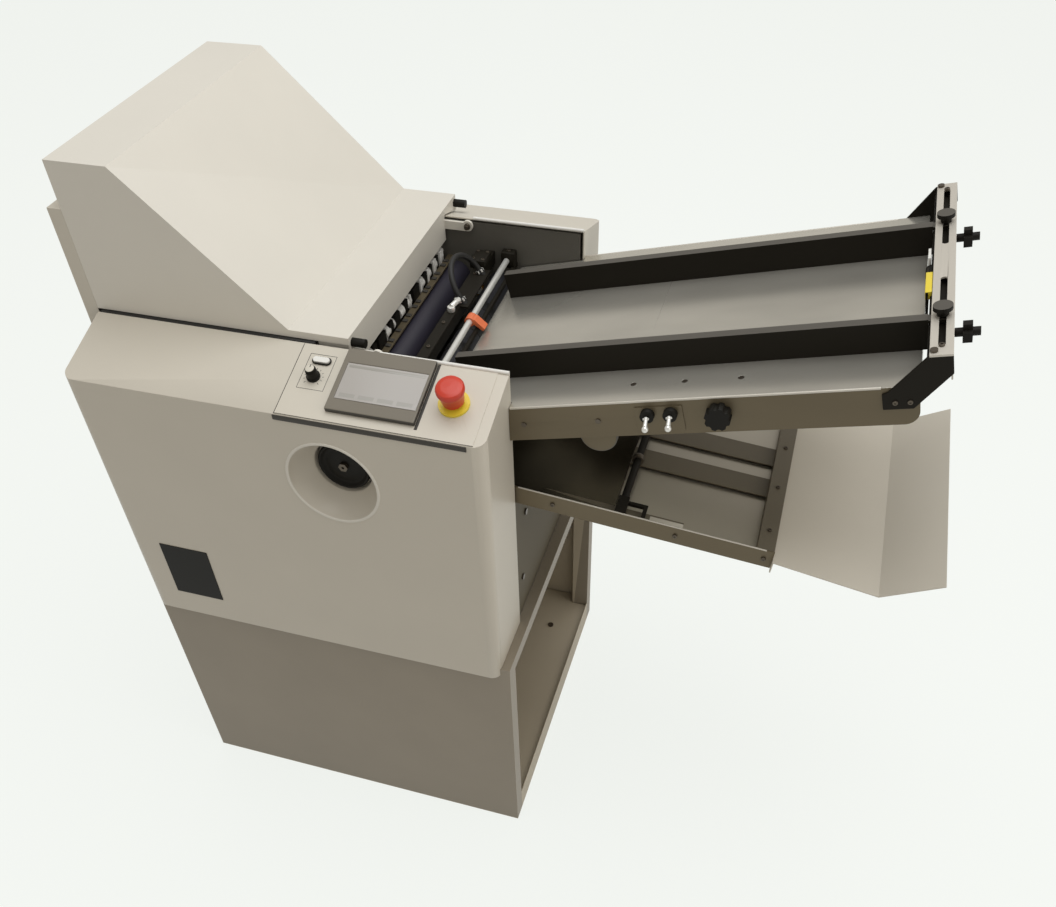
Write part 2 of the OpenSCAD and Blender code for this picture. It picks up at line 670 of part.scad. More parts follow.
// ---- Lower fold plate: here +X runs down the plate ----
sheet_v = -26;
bar_v = -21;
bars_s = 150;                                     // the bars start here
cross_w = 26;                                     // cross member at the plate's end
module lower_plate_frame() color("dimgray") on_lower() {
    union() {
        both_sides()
            block([lower_start, lower_half - lower_rail_t, -lower_rail_h], [lower_len, lower_half, 0]);
        block([lower_len - cross_w, -lower_half, sheet_v + 2], [lower_len, lower_half, -4]);
        // dark upper sheet, with two flat bars from it to the cross member
        block([lower_start + 8, -lower_half, bar_v], [bars_s + 1, lower_half, bar_v + 2]);
        for (y = [-38.5, 38.5])
            block([bars_s, y - bar_w / 2, bar_v], [lower_len - cross_w + 2, y + bar_w / 2, bar_v + 2]);
        block([40, -lower_half, -14], [258, -lower_half + 27, -12]);
    }
    // blocks that carry the plate on the side frames
    both_sides() block([-120, lower_half, -28], [-80, frame_in, -8]);
}
module lower_plate_sheet() color("lightgray") on_lower()
    block([lower_start + 8, -lower_half + lower_rail_t, sheet_v],
        [lower_len, lower_half - lower_rail_t, sheet_v + 2]);
stop_y = lower_half - 34.5;
foot_len = 38;
module lower_plate_stop() color("black") on_lower() translate([lower_stop_s, 0, 0]) union() {
    slide_y = lower_half - lower_rail_t - gap;
    translate([0, stop_y, -7]) rotate([90, 0, 0]) cylinder(r = 6, h = 2 * stop_y);
    for (y = [-140, -90, 0, 90, 140]) block([-4, y - 8, sheet_v + 2 + gap], [-1, y + 8, -8]);
    both_sides() {
        // sliding block and the angled foot beside it
        block([-8, stop_y - 5, -11.5], [8, slide_y, 1]);
        block([0, stop_y - 3, -10], [foot_len, stop_y + 3, -5]);
        block([foot_len - 6, stop_y - 3, -10], [foot_len, slide_y, -5]);
    }
}
tray_half = lower_half + tray_over;
tray_flat = 157.5;                                // length of the tray's first face
tray_rise = 77;                                   // length of its second face, along the plate
module end_tray() color("whitesmoke") on_lower() plate_y(-tray_half, tray_half) {
    t = 2;
    fold = lower_len + tray_flat;
    polygon([[lower_len, -30], [lower_len + t, -30], [lower_len + t, -9 - t], [fold + 0.5, -22 - t],
        [fold + tray_rise, 30 - t], [fold + tray_rise - 1, 30], [fold, -22], [lower_len, -9]]);
}

// ---- Feed throat ----
module guide_collars() color("white") machine() {
    rod_y([collar_x, collar_z], 5, -frame_in, frame_in);
    // collars over the middle of the shaft
    for (i = [-6 : 6]) difference() {
        rod_y([collar_x, collar_z], 11, i * 30 - 8, i * 30 + 8);
        rod_y([collar_x, collar_z], 5, i * 30 - 9, i * 30 + 9);
    }
}
module separator_rod() color("silver") machine() {
    rod_y([rod_x, rod_z], rod_r, -frame_in, frame_in);
    // flat strip beside the collars
    block([collar_x + 12.5, -frame_in, 916], [collar_x + 24, frame_in, 918.5]);
}
module separator_clip() color("orangered") machine() plate_y(-8, 8) difference() {
    union() {
        translate([rod_x, rod_z]) circle(r = rod_r + 3);
        polygon([[rod_x + 2, rod_z + 6], [rod_x + 9, rod_z + 5], [rod_x + 25, rod_z - 9],
            [rod_x + 22, rod_z - 13], [rod_x + 4, rod_z - 1]]);
    }
    translate([rod_x, rod_z]) circle(r = rod_r + fit);
}
module feed_beam() color("black") machine() {
    union() {
        block([beam_x - beam_half, -frame_in, beam_z - 11], [beam_x + beam_half, frame_in, beam_top]);
        block([beam_x, hose_y - hose_bend - 12, beam_top - 3],
            [hose_x + 12, hose_y + hose_bend + 12, beam_top]);
    }
    block([rod_x + 8, -frame_in, 913], [rod_x + 14, frame_in, 920]);
}
// One loop of hose in a leaning plane, with a fitting on each leg
module feed_hose() color("black") machine() difference() {
    translate([hose_x, hose_y, beam_top]) rotate([0, -hose_lean, 0]) union() {
        for (side = [-1, 1]) translate([0, side * hose_bend, 0]) {
            translate([0, 0, -8]) cylinder(r = 6.5, h = 15);
            cylinder(r = hose_r, h = hose_leg);
        }
        translate([0, 0, hose_leg]) rotate([90, 0, 90]) rotate_extrude(angle = 180)
            translate([hose_bend, 0]) circle(r = hose_r);
    }
    block([hose_x - 60, 0, beam_top - 40], [hose_x + 60, 200, beam_top]);
}

// ---- Feed table: here +X runs up the table and Z = 0 is its surface ----
corner_r = 18;
table_screws = [170.6, 240.7, 314.5];
top_screw_r = 4;
start_u = table_start / cos(table_tilt);          // the flange's upright edge, top and bottom
start_low_u = (table_start - table_flange * sin(table_tilt)) / cos(table_tilt);
module flange_outline() {
    difference() {
        polygon([[start_u, 0], [start_low_u, -table_flange], [table_len, -table_flange], [table_len, 0]]);
        translate([table_len - corner_r, -table_flange]) square(corner_r);
        for (u = rail_screws) translate([u, rail_screw_v]) circle(r = screw_r + fit);
        translate(table_knob_at) circle(r = 4 + fit);
    }
    intersection() {
        translate([table_len - corner_r, -table_flange + corner_r]) circle(r = corner_r);
        translate([table_len - corner_r, -table_flange]) square(corner_r);
    }
}
module feed_table() color("silver") on_table() union() {
    difference() {
        block([start_u, -table_half, -table_t], [table_len, table_half, 0]);
        both_sides() for (u = table_screws)
            translate([u, table_half - 41.5, -table_t - 1]) cylinder(r = top_screw_r + fit, h = table_t + 2);
    }
    block([apron_start, -apron_half, -table_t], [start_u + 1, apron_half, 0]);
    both_sides() plate_y(table_half - table_t, table_half) flange_outline();
    block([table_len - table_t, -table_half + 1, -24], [table_len, table_half - 1, 0]);
}
module table_brackets() color("black") on_table() union() {
    both_sides() plate_y(table_half, table_half + bracket_t) polygon([[487, -8], [488, -30], [523, -30],
        [566, 16], [565, bridge_v - bridge_t], [537, bridge_v - bridge_t], [493, -6]]);
    // dark bar between the brackets, below the slots
    block([541, -table_half - 1, bridge_v - 13], [557, table_half + 1, bridge_v - 10]);
}
bridge_low = 6;
module bridge() color("silver") on_table() difference() {
    u0 = bridge_u - bridge_w / 2;
    u1 = bridge_u + bridge_w / 2;
    w = table_half + bracket_t;
    union() {
        block([u0, -w, bridge_v - bridge_t], [u1, w, bridge_v]);
        block([u1 - 2, -table_half, bridge_low], [u1, table_half, bridge_v]);
    }
    both_sides() {
        hull() for (y = [slot_in, slot_out] + [slot_w, -slot_w] / 2) translate([bridge_u, y, bridge_v - 10])
            cylinder(r = slot_w / 2, h = 20, $fn = 32);
        block([u1 - 10, slot_in, star_v - slot_w / 2], [u1 + 5, slot_out, star_v + slot_w / 2]);
    }
}
// A side guide, with the tab below the bridge and the two studs of its knobs
guide_end = 536;
stud_r = 3;
stud_out = 7;                                     // how far a stud reaches into its knob
star_v = 17;                                      // height of the star knobs
module side_guide(y) on_table() translate([0, y, 0]) union() {
    u1 = bridge_u + bridge_w / 2 - 2 - gap;
    t0 = bridge_v - bridge_t - gap - 4;
    block([-98, -guide_t / 2, gap], [guide_end, guide_t / 2, guide_h]);
    block([guide_end - 4, -guide_t / 2, t0], [u1, guide_t / 2, t0 + 4]);
    block([u1 - 4, -guide_t / 2, 8], [u1, guide_t / 2, t0 + 4]);
    translate([bridge_u, 0, t0 + 1]) cylinder(r = stud_r, h = bridge_v + gap + stud_out - t0 - 1);
    translate([u1 - 1, 0, star_v]) rotate([0, 90, 0]) cylinder(r = stud_r, h = 3 + 2 * gap + stud_out);
}
module guide_near() color("black") side_guide(guide_near_y);
module guide_far() color("black") side_guide(guide_far_y);
module thumb_knob(y) on_table() translate([bridge_u, y, bridge_v + gap]) difference() {
    union() {
        cylinder(r = 7, h = 7);
        translate([0, 0, 7]) cylinder(r = 11.5, h = 5.5);
    }
    translate([0, 0, -1]) cylinder(r = stud_r + fit, h = stud_out + 2);
}
module thumb_knob_near() color("black") thumb_knob(guide_near_y);
module thumb_knob_far() color("black") thumb_knob(guide_far_y);
module star_knob(y) on_table() translate([bridge_u + bridge_w / 2 + gap, y, star_v]) rotate([0, 90, 0])
difference() {
    union() {
        cylinder(r = 5.5, h = 29);
        for (a = [0, 90]) rotate(a) translate([-12.5, -5, 9]) cube([25, 10, 11]);
    }
    translate([0, 0, -1]) cylinder(r = stud_r + fit, h = stud_out + 2);
}
module star_knob_near() color("black") star_knob(guide_near_y);
module star_knob_far() color("black") star_knob(guide_far_y);
module end_stop() color("black") on_table() union() {
    block([531, end_stop_y[0], 2], [534, end_stop_y[1], bridge_v - bridge_t]);
    block([531, end_stop_y[0] + 15, bridge_v - bridge_t - 3], [548, end_stop_y[1] - 15, bridge_v - bridge_t]);
}
toggle_u = [196, 227];
toggle_v = -20;
module toggle_plate() color("dimgray") on_table() {
    y = -table_half;
    union() {
        block([179, y - 1.5, -47.5], [243, y, -9]);
        for (u = toggle_u) rod_y([u, toggle_v], 9.5, y - 9, y - 1);
    }
}
module toggle(u) on_table() translate([u, -table_half - 9 - 3.5, toggle_v]) union() {
    sphere(r = 3.2);
    translate([-4, 0, 0]) rotate([0, 90, 0]) cylinder(r = 1.5, h = 8);
    rotate([90 + 28, 0, 0]) cylinder(r1 = 2.4, r2 = 3.4, h = 15, $fn = 48);
    rotate([90 + 28, 0, 0]) translate([0, 0, 15]) sphere(r = 4.6);
}
module toggle_left() color("silver") toggle(toggle_u[0]);
module toggle_right() color("silver") toggle(toggle_u[1]);
knob_len = 16;
module table_knob() color("black") on_table()
translate([table_knob_at[0], -table_half - gap, table_knob_at[1]]) rotate([90, 0, 0]) {
    translate([0, 0, -8]) cylinder(r = 4, h = 9);
    difference() {
        cylinder(r = 17, h = knob_len);
        for (a = [0 : 45 : 359]) rotate(a) translate([19, 0, -1])
            cylinder(r = 4.5, h = knob_len + 2, $fn = 32);
    }
}

// ---- Fasteners: separate screws, pins and spacers ----
module fasteners() color("dimgray") {
    on_table() both_sides() {
        for (u = rail_screws) {
            rod_y([u, rail_screw_v], screw_r, frame_in, table_half);
            rod_y([u, rail_screw_v], screw_r + 1.2, table_half, table_half + 1.5);
            difference() {
                rod_y([u, rail_screw_v], 8, frame_out, table_half - table_t);
                rod_y([u, rail_screw_v], screw_r, frame_out - 1, table_half);
            }
        }
        for (u = table_screws) translate([u, table_half - 41.5, -table_t])
            cylinder(r = top_screw_r, h = table_t);
        translate([bridge_u - 8, table_half - 5, bridge_v]) cylinder(r = 4.5, h = 3);
    }
    machine() {
        both_sides() rod_y([pivot_x, pivot_z], pin_r, frame_in - 14, frame_out);
        for (q = [[-142.5, 680], [-168.5, 553], [142.5, 680], [168.5, 553]])
            translate([frame_end + 2, q[0], q[1]]) rotate([0, 90, 0]) cylinder(r = 5.5, h = 3);
    }
    for (x = [-270, 270], y = [-180, 180]) translate([x, y, floor_z]) cylinder(r = 6, h = 3);
}

cabinet_shell();
cabinet_base();
machine_deck();
end_panel();
front_frame();
rear_frame();
bearings();
front_cover();
rear_cover();
left_end_cover();
hood();
hood_bumpers();
handwheel_cup();
panel_plate();
screen_bezel();
screen_glass();
speed_knob();
start_key();
estop_collar();
estop_button();
name_plate();
handwheel();
handwheel_bolt();
roller_upper();
roller_middle();
roller_lower();
roller_bottom();
exit_roller();
feed_roller();
idler_gear();
motor();
motor_pulley();
drive_belt();
upper_plate();
upper_stop();
lower_plate_frame();
lower_plate_sheet();
lower_plate_stop();
end_tray();
guide_collars();
separator_rod();
separator_clip();
feed_beam();
feed_hose();
feed_table();
table_brackets();
bridge();
guide_near();
guide_far();
thumb_knob_near();
thumb_knob_far();
star_knob_near();
star_knob_far();
end_stop();
toggle_plate();
toggle_left();
toggle_right();
table_knob();
fasteners();
power_inlet();
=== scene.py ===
# %% [markdown]
# # A paper folding machine, dressed around its CAD model
# The solids come from CAD and stay where they are. This script gives each of them its finish, and adds the
# small pieces that a drawing leaves out: trims, seams, screws, plain labels, fittings, tyres and a spring.
# Everything is in metres, in the CAD model's own frame: +X points to the feed table, -Y to the operator.

# %% Load the frame
import json
import math

import bpy
import bmesh
from mathutils import Matrix, Vector


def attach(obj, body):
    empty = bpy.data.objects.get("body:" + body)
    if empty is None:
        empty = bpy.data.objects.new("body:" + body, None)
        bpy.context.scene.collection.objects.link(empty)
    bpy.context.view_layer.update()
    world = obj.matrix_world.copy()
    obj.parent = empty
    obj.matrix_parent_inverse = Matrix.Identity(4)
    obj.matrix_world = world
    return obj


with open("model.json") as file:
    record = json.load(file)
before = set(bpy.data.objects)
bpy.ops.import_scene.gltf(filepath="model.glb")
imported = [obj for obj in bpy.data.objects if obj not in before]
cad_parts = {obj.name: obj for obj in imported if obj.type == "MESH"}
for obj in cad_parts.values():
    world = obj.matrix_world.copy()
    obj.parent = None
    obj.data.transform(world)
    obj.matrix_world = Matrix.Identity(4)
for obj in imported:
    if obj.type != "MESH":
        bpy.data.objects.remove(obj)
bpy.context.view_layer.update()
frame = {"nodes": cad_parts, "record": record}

nodes = frame["nodes"]
scene = bpy.context.scene
print("solids in the frame:", len(nodes))

# %% [markdown]
# The machine's covers, table and fold plates each have a slope of their own. A small matrix per slope lets
# a piece be written in the millimetres of the part that carries it, and then set in place in one step.

# %% The machine's frames of reference
MM = 0.001
machine_origin = Vector((-333.5, 21.0, 0.0))      # left end of the covers, on the middle plane, at the floor
half_width = 324.5                                # from the middle plane to a cover's outer face
frame_inner = 204.2                               # from the middle plane to a side frame's inner face
cover_edge = 950.5                                # height of the covers' outer top edge
cover_end = 652.5                                 # length of the covers
table_height = 939.6                              # where the table's top meets the covers' end
lower_height = 781.1                              # where the lower plate meets it
panel_angle = math.radians(17.5)
table_angle = math.radians(14.04)
lower_angle = math.radians(5.66)


def at(x, y, z):
    """A place on the machine, in millimetres, as a move in metres."""
    return Matrix.Translation((machine_origin + Vector((x, y, z))) * MM)


def spot(x, y, z):
    """A move inside a part's own frame, in millimetres."""
    return Matrix.Translation(Vector((x, y, z)) * MM)


def facing(axis):
    """A turn that takes +Z to the given direction."""
    return Vector((0, 0, 1)).rotation_difference(Vector(axis)).to_matrix().to_4x4()


MACHINE = at(0, 0, 0)
PANEL = at(0, -half_width, cover_edge) @ Matrix.Rotation(panel_angle, 4, "X")
TABLE = at(cover_end, 0, table_height) @ Matrix.Rotation(-table_angle, 4, "Y")
LOWER = at(cover_end, 0, lower_height) @ Matrix.Rotation(lower_angle, 4, "Y")

# %% [markdown]
# The camera stands at the operator's right, above the feed table, and looks down. Its place and turn are
# those of the photograph, and a lens shift keeps the machine where it is in the picture.

# %% Camera
camera_place = (0.68584, -1.26762, 1.78025)
camera_right = Vector((0.95379459, 0.29820222, -0.03676021))
camera_down = Vector((0.19465865, -0.70649027, -0.68042598))
camera_ahead = Vector((-0.22887527, 0.64183093, -0.73189424))
photo_width = 1056
photo_height = 907
focal_px = 997.6
centre_px = (507.86, 593.02)
sensor_mm = 36

bpy.ops.object.camera_add(location=camera_place)
camera = bpy.context.object
camera.name = "camera"
turn = Matrix((camera_right, -camera_down, -camera_ahead)).transposed()
camera.rotation_euler = turn.to_euler()
camera.data.sensor_width = sensor_mm
camera.data.sensor_fit = "HORIZONTAL"
camera.data.lens = focal_px * sensor_mm / photo_width
camera.data.shift_x = (photo_width / 2 - centre_px[0]) / photo_width
camera.data.shift_y = (centre_px[1] - photo_height / 2) / photo_width
camera.data.clip_start = 0.02
scene.camera = camera
print("lens:", round(camera.data.lens, 2), "mm")

# %% [markdown]
# The machine stands on a white floor, in the light of two large soft boxes. Rays from the camera and from
# mirrors see the floor glow, so it reads white and still takes the machine's shadow. Every other ray meets
# plain grey, so the floor's bounce doesn't wash out the undersides.

# %% Floor, background and lamps
BACKGROUND = (0.887, 0.913, 0.879, 1.0)
AMBIENT = (1.0, 0.965, 0.90, 1.0)
AMBIENT_STRENGTH = 0.52
FLOOR_SIZE = 24
FLOOR_GREY = (0.55, 0.54, 0.52, 1)
FLOOR_SHADE = (0.14, 0.14, 0.14, 1)
FLOOR_GLOW = (0.79, 0.815, 0.782, 1)


def camera_or_mirror(tree):
    """A factor of one for rays that come from the camera or from a mirror."""
    ray = tree.nodes.new("ShaderNodeLightPath")
    either = tree.nodes.new("ShaderNodeMath")
    either.operation = "MAXIMUM"
    tree.links.new(ray.outputs["Is Camera Ray"], either.inputs[0])
    tree.links.new(ray.outputs["Is Glossy Ray"], either.inputs[1])
    return either.outputs[0]


world = bpy.data.worlds.new("studio")
scene.world = world
world.use_nodes = True
tree = world.node_tree
ambient = tree.nodes["Background"]
ambient.inputs["Color"].default_value = AMBIENT
ambient.inputs["Strength"].default_value = AMBIENT_STRENGTH
backdrop = tree.nodes.new("ShaderNodeBackground")
backdrop.inputs["Color"].default_value = BACKGROUND
choose = tree.nodes.new("ShaderNodeMixShader")
ray = tree.nodes.new("ShaderNodeLightPath")
tree.links.new(ray.outputs["Is Camera Ray"], choose.inputs["Fac"])
tree.links.new(ambient.outputs[0], choose.inputs[1])
tree.links.new(backdrop.outputs[0], choose.inputs[2])
tree.links.new(choose.outputs[0], tree.nodes["World Output"].inputs["Surface"])

bpy.ops.mesh.primitive_plane_add(size=FLOOR_SIZE)
floor = bpy.context.object
floor.name = "floor"
paper = bpy.data.materials.new("floor_paper")
paper.use_nodes = True
tree = paper.node_tree
grey = tree.nodes["Principled BSDF"]
grey.inputs["Base Color"].default_value = FLOOR_GREY
grey.inputs["Roughness"].default_value = 0.9
shade = tree.nodes.new("ShaderNodeBsdfDiffuse")
shade.inputs["Color"].default_value = FLOOR_SHADE
glow = tree.nodes.new("ShaderNodeEmission")
glow.inputs["Color"].default_value = FLOOR_GLOW
glow.inputs["Strength"].default_value = 1.0
white = tree.nodes.new("ShaderNodeAddShader")
tree.links.new(shade.outputs[0], white.inputs[0])
tree.links.new(glow.outputs[0], white.inputs[1])
choose = tree.nodes.new("ShaderNodeMixShader")
tree.links.new(camera_or_mirror(tree), choose.inputs["Fac"])
tree.links.new(grey.outputs[0], choose.inputs[1])
tree.links.new(white.outputs[0], choose.inputs[2])
tree.links.new(choose.outputs[0], tree.nodes["Material Output"].inputs["Surface"])
floor.data.materials.append(paper)


def soft_box(name, place, aim, size, power, colour):
    """A square lamp that looks at a point."""
    bpy.ops.object.light_add(type="AREA", location=place)
    lamp = bpy.context.object
    lamp.name = name
    lamp.data.size = size
    lamp.data.energy = power
    lamp.data.color = colour
    lamp.rotation_euler = (Vector(aim) - Vector(place)).to_track_quat("-Z", "Y").to_euler()


soft_box("top_lamp", place=(0.6, 0.2, 4.4), aim=(0.2, 0, 0.6), size=3.2, power=84, colour=(0.94, 0.97, 1.0))
soft_box("side_lamp", place=(4.2, -0.6, 2.2), aim=(0.2, 0, 0.9), size=2.2, power=26, colour=(1.0, 0.97, 0.92))
scene.view_settings.view_transform = "Standard"

# %% [markdown]
# Sheet metal here is powder coated or bare. A coat has a fine orange-peel skin and a barely uneven colour.
# Both come from noise on Object coordinates, so they stay put on the piece and look the same from every
# side. Bare steel gets its grain from noise that is drawn out along one axis. Each solid takes the finish
# that its record names, and a few get another one that is closer to the photograph.

# %% Finishes
BROAD_NOISE = 7.0         # noise scale of the uneven colour
FINE_NOISE = 900.0        # noise scale of the skin
SKIN_DEPTH = 0.0004
GRAIN_BROAD = 0.35        # scale of the broad noise along the grain
GRAIN_FINE = 0.03         # scale of the fine noise along the grain
RAMP_ENDS = (0.3, 0.7)    # noise values that get the darkest and the lightest colour


def srgb(r, g, b):
    """A colour read as 0-255 values on a screen, as the linear values that a shader takes."""
    def linear(v):
        # the standard sRGB curve
        v = v / 255
        return v / 12.92 if v <= 0.04045 else ((v + 0.055) / 1.055) ** 2.4
    return (linear(r), linear(g), linear(b))


def finish_material(name, colour, rough, metal=0.0, uneven=0.04, skin=0.02, gloss=0.5, grain=None):
    """A procedural finish: base colour, slight unevenness and a fine skin. grain names the brushed axis."""
    material = bpy.data.materials.new(name)
    material.use_nodes = True
    tree = material.node_tree
    shader = tree.nodes["Principled BSDF"]
    shader.inputs["Metallic"].default_value = metal
    shader.inputs["Roughness"].default_value = rough
    shader.inputs["Specular IOR Level"].default_value = gloss
    place = tree.nodes.new("ShaderNodeTexCoord")
    mapping = tree.nodes.new("ShaderNodeMapping")
    tree.links.new(place.outputs["Object"], mapping.inputs["Vector"])
    if grain:
        mapping.inputs["Scale"].default_value = [GRAIN_FINE if axis == grain else 1.0 for axis in "XYZ"]
    broad = tree.nodes.new("ShaderNodeTexNoise")
    broad.inputs["Scale"].default_value = BROAD_NOISE
    broad.inputs["Detail"].default_value = 3.0
    stretch = tree.nodes.new("ShaderNodeMapping")
    stretch.inputs["Scale"].default_value = [GRAIN_BROAD if axis == grain else 1.0 for axis in "XYZ"]
    tree.links.new(place.outputs["Object"], stretch.inputs["Vector"])
    tree.links.new(stretch.outputs["Vector"], broad.inputs["Vector"])
    ramp = tree.nodes.new("ShaderNodeValToRGB")
    dark, light = ramp.color_ramp.elements[0], ramp.color_ramp.elements[1]
    dark.position, light.position = RAMP_ENDS
    dark.color = [c * (1 - uneven) for c in colour] + [1]
    light.color = [min(1, c * (1 + uneven)) for c in colour] + [1]
    tree.links.new(broad.outputs["Fac"], ramp.inputs["Fac"])
    tree.links.new(ramp.outputs["Color"], shader.inputs["Base Color"])
    fine = tree.nodes.new("ShaderNodeTexNoise")
    fine.inputs["Scale"].default_value = FINE_NOISE
    fine.inputs["Detail"].default_value = 2.0
    tree.links.new(mapping.outputs["Vector"], fine.inputs["Vector"])
    bump = tree.nodes.new("ShaderNodeBump")
    bump.inputs["Strength"].default_value = skin
    bump.inputs["Distance"].default_value = SKIN_DEPTH
    tree.links.new(fine.outputs["Fac"], bump.inputs["Height"])
    tree.links.new(bump.outputs["Normal"], shader.inputs["Normal"])
    return material


FINISH = {}


def add_finish(name, rgb, rough, **settings):
    """Keeps one more finish under its name. rgb is its colour in 0-255 values."""
    FINISH[name] = finish_material(name, srgb(*rgb), rough, **settings)


add_finish("cover_paint", (203, 196, 182), 0.42, uneven=0.015, skin=0.12)
add_finish("hood_paint", (217, 212, 201), 0.42, uneven=0.015, skin=0.12)
add_finish("cabinet_paint", (147, 137, 121), 0.45, uneven=0.03, skin=0.15)
add_finish("frame_paint", (92, 89, 82), 0.45, uneven=0.03, skin=0.1)
# Taupe darkened for the end panel under the table: the panel's paint with painted shade in it.
add_finish("taupe_and_shade_paint", (104, 97, 82), 0.65, uneven=0.03, skin=0.12, gloss=0.2)
add_finish("inner_paint", (186, 175, 154), 0.5, uneven=0.03, skin=0.12)
add_finish("bronze", (176, 132, 74), 0.35, metal=1.0, uneven=0.06)
add_finish("black_plastic", (27, 25, 21), 0.5, skin=0.15, gloss=0.15)
add_finish("grey_plastic", (116, 109, 96), 0.5, skin=0.12)
add_finish("dark_plastic", (62, 59, 54), 0.5, skin=0.1)
add_finish("screen", (168, 163, 157), 0.16, uneven=0.02, skin=0.0)
add_finish("white_plastic", (228, 226, 220), 0.4, uneven=0.01)
add_finish("yellow_plastic", (232, 208, 60), 0.35, uneven=0.01)
add_finish("red_plastic", (200, 58, 36), 0.35, uneven=0.01)
add_finish("bright_steel", (232, 231, 226), 0.3, metal=0.55, grain="Y")
add_finish("screw_steel", (96, 88, 78), 0.35, metal=0.8)
add_finish("navy_rubber", (44, 41, 52), 0.5, skin=0.2)
add_finish("roller_rubber", (50, 50, 54), 0.55, skin=0.2)
add_finish("motor_paint", (60, 60, 64), 0.5)
add_finish("black_rubber", (26, 25, 24), 0.55, skin=0.1)
add_finish("plate_steel", (184, 178, 166), 0.34, metal=0.8, uneven=0.08, grain="X")
add_finish("black_metal", (32, 29, 23), 0.5, uneven=0.05, gloss=0.12)
# Lighter grey for the tops of the black guides and knobs: painted light from above.
add_finish("lit_top_grey", (84, 80, 73), 0.45, metal=0.2, uneven=0.08)
add_finish("rail_steel", (106, 95, 74), 0.45, metal=0.4, uneven=0.08, grain="X")
# Glossy near-black for the lower plate's sheet by the covers: painted shade from the table above, and its
# strong unevenness paints reflection patches.
add_finish("shade_and_reflection_black", (72, 66, 54), 0.16, metal=0.75, uneven=0.45)
add_finish("light_steel", (202, 196, 185), 0.42, metal=0.35, uneven=0.03, grain="Y")
add_finish("orange_plastic", (222, 116, 74), 0.4)
add_finish("bar_steel", (108, 100, 84), 0.4, metal=0.2, uneven=0.08, grain="X")
add_finish("label_film", (206, 200, 186), 0.4, uneven=0.02)
add_finish("table_steel", (202, 198, 187), 0.24, metal=0.7, uneven=0.16, grain="X")
for entry in frame["record"]["subparts"]:
    solid = nodes[entry["node"]]
    solid.data.materials.clear()
    solid.data.materials.append(FINISH.get(entry["material_slot"], FINISH["cover_paint"]))
# The end panel takes the darkened taupe: painted shade from the table above it.
OTHER_FINISH = {"fasteners": "screw_steel", "handwheel_bolt": "screw_steel", "end_panel": "taupe_and_shade_paint",
                "cabinet_base": "inner_paint", "panel_plate": "cover_paint", "end_tray": "cover_paint"}
for name, finish in OTHER_FINISH.items():
    nodes[name].data.materials[0] = FINISH[finish]
print("finishes:", len(FINISH))

# %% [markdown]
# Some solids have faces of two kinds: the screen's housing has side faces darker than its front, as painted
# shade; the side guides and clamping knobs have lighter tops, as painted light from above; the table's
# flanges are darker than its top; the lower plate's upper sheet is glossy near-black by the covers, painted
# shade with painted reflection patches; the strip in the throat is brownish; the toggles stand in black
# discs; and the cabinet is paler inside. A second material goes to the faces that pass a test on their place
# and direction. No vertex moves.

# %% Faces with a finish of their own
FACING = 0.9              # the least cosine between a normal and the direction that it looks in
FLAT_TOP = 0.95           # the same for the knobs, whose rims slope
RAIL_HALF = 190           # half the width between the lower plate's rails
SHADED_SHEET_END = 150           # where the lower plate's painted shade and reflections end and its bars start
THROAT_STRIP = (409, 423, 919)      # the strip beside the collars: from, to and top
TOGGLE_PLACES = (196, 227)
TOGGLE_HEIGHT = -20
TOGGLE_FACE = 10          # radius of the black face round a toggle
CABINET_INSIDE = (650, 291.9, 474)  # faces within these limits along X, Y and Z are inside


def paint(name, finish, test):
    """Gives a second finish to the faces whose centre, in machine millimetres, and normal pass a test."""
    solid = nodes[name]
    solid.data.materials.append(FINISH[finish])
    index = len(solid.data.materials) - 1
    place = solid.matrix_world
    turn = place.to_3x3()
    for face in solid.data.polygons:
        if test((place @ face.center) / MM - machine_origin, turn @ face.normal):
            face.material_index = index


def own_frame(place):
    """The move from machine millimetres to the millimetres of a sloped part."""
    return (Matrix.Translation(-machine_origin) @ Matrix.Scale(1 / MM, 4) @ place
            @ Matrix.Scale(MM, 4)).inverted()


def upwards(place):
    """The direction that a sloped part's top looks in."""
    return place.to_3x3() @ Vector((0, 0, 1))


from_lower = own_frame(LOWER)
from_table = own_frame(TABLE)
panel_up = upwards(PANEL)
table_up = upwards(TABLE)
lower_up = upwards(LOWER)


def on_lower_top(centre, normal):
    """Whether a face is on top of the lower plate, between its rails."""
    return normal.dot(lower_up) > FACING and abs(centre.y) < RAIL_HALF


def round_toggle(centre, normal):
    """Whether a face is close to the axis of a toggle."""
    here = (from_table @ centre).xz
    return min((Vector((u, TOGGLE_HEIGHT)) - here).length for u in TOGGLE_PLACES) < TOGGLE_FACE


def inside_cabinet(centre, normal):
    """Whether a face of the cabinet's walls looks at its middle."""
    inward = -machine_origin - centre
    inward.z = 0
    upright = abs(normal.x) > FACING or abs(normal.y) > FACING
    within = (abs(centre.x) < CABINET_INSIDE[0] and abs(inward.y) < CABINET_INSIDE[1]
              and centre.z < CABINET_INSIDE[2])
    return upright and within and normal.dot(inward) > 0


# The bezel's side faces get the dark plastic: painted shade beside the raised housing.
paint("screen_bezel", "dark_plastic", lambda centre, normal: normal.dot(panel_up) < FACING)
# The guides' and knobs' top faces get the lighter grey: painted light from above.
for name in ("guide_near", "guide_far"):
    paint(name, "lit_top_grey", lambda centre, normal: normal.dot(table_up) > FACING)
for name in ("thumb_knob_near", "thumb_knob_far"):
    paint(name, "lit_top_grey", lambda centre, normal: normal.dot(table_up) > FLAT_TOP)
paint("feed_table", "rail_steel", lambda centre, normal: abs(normal.y) > FACING)
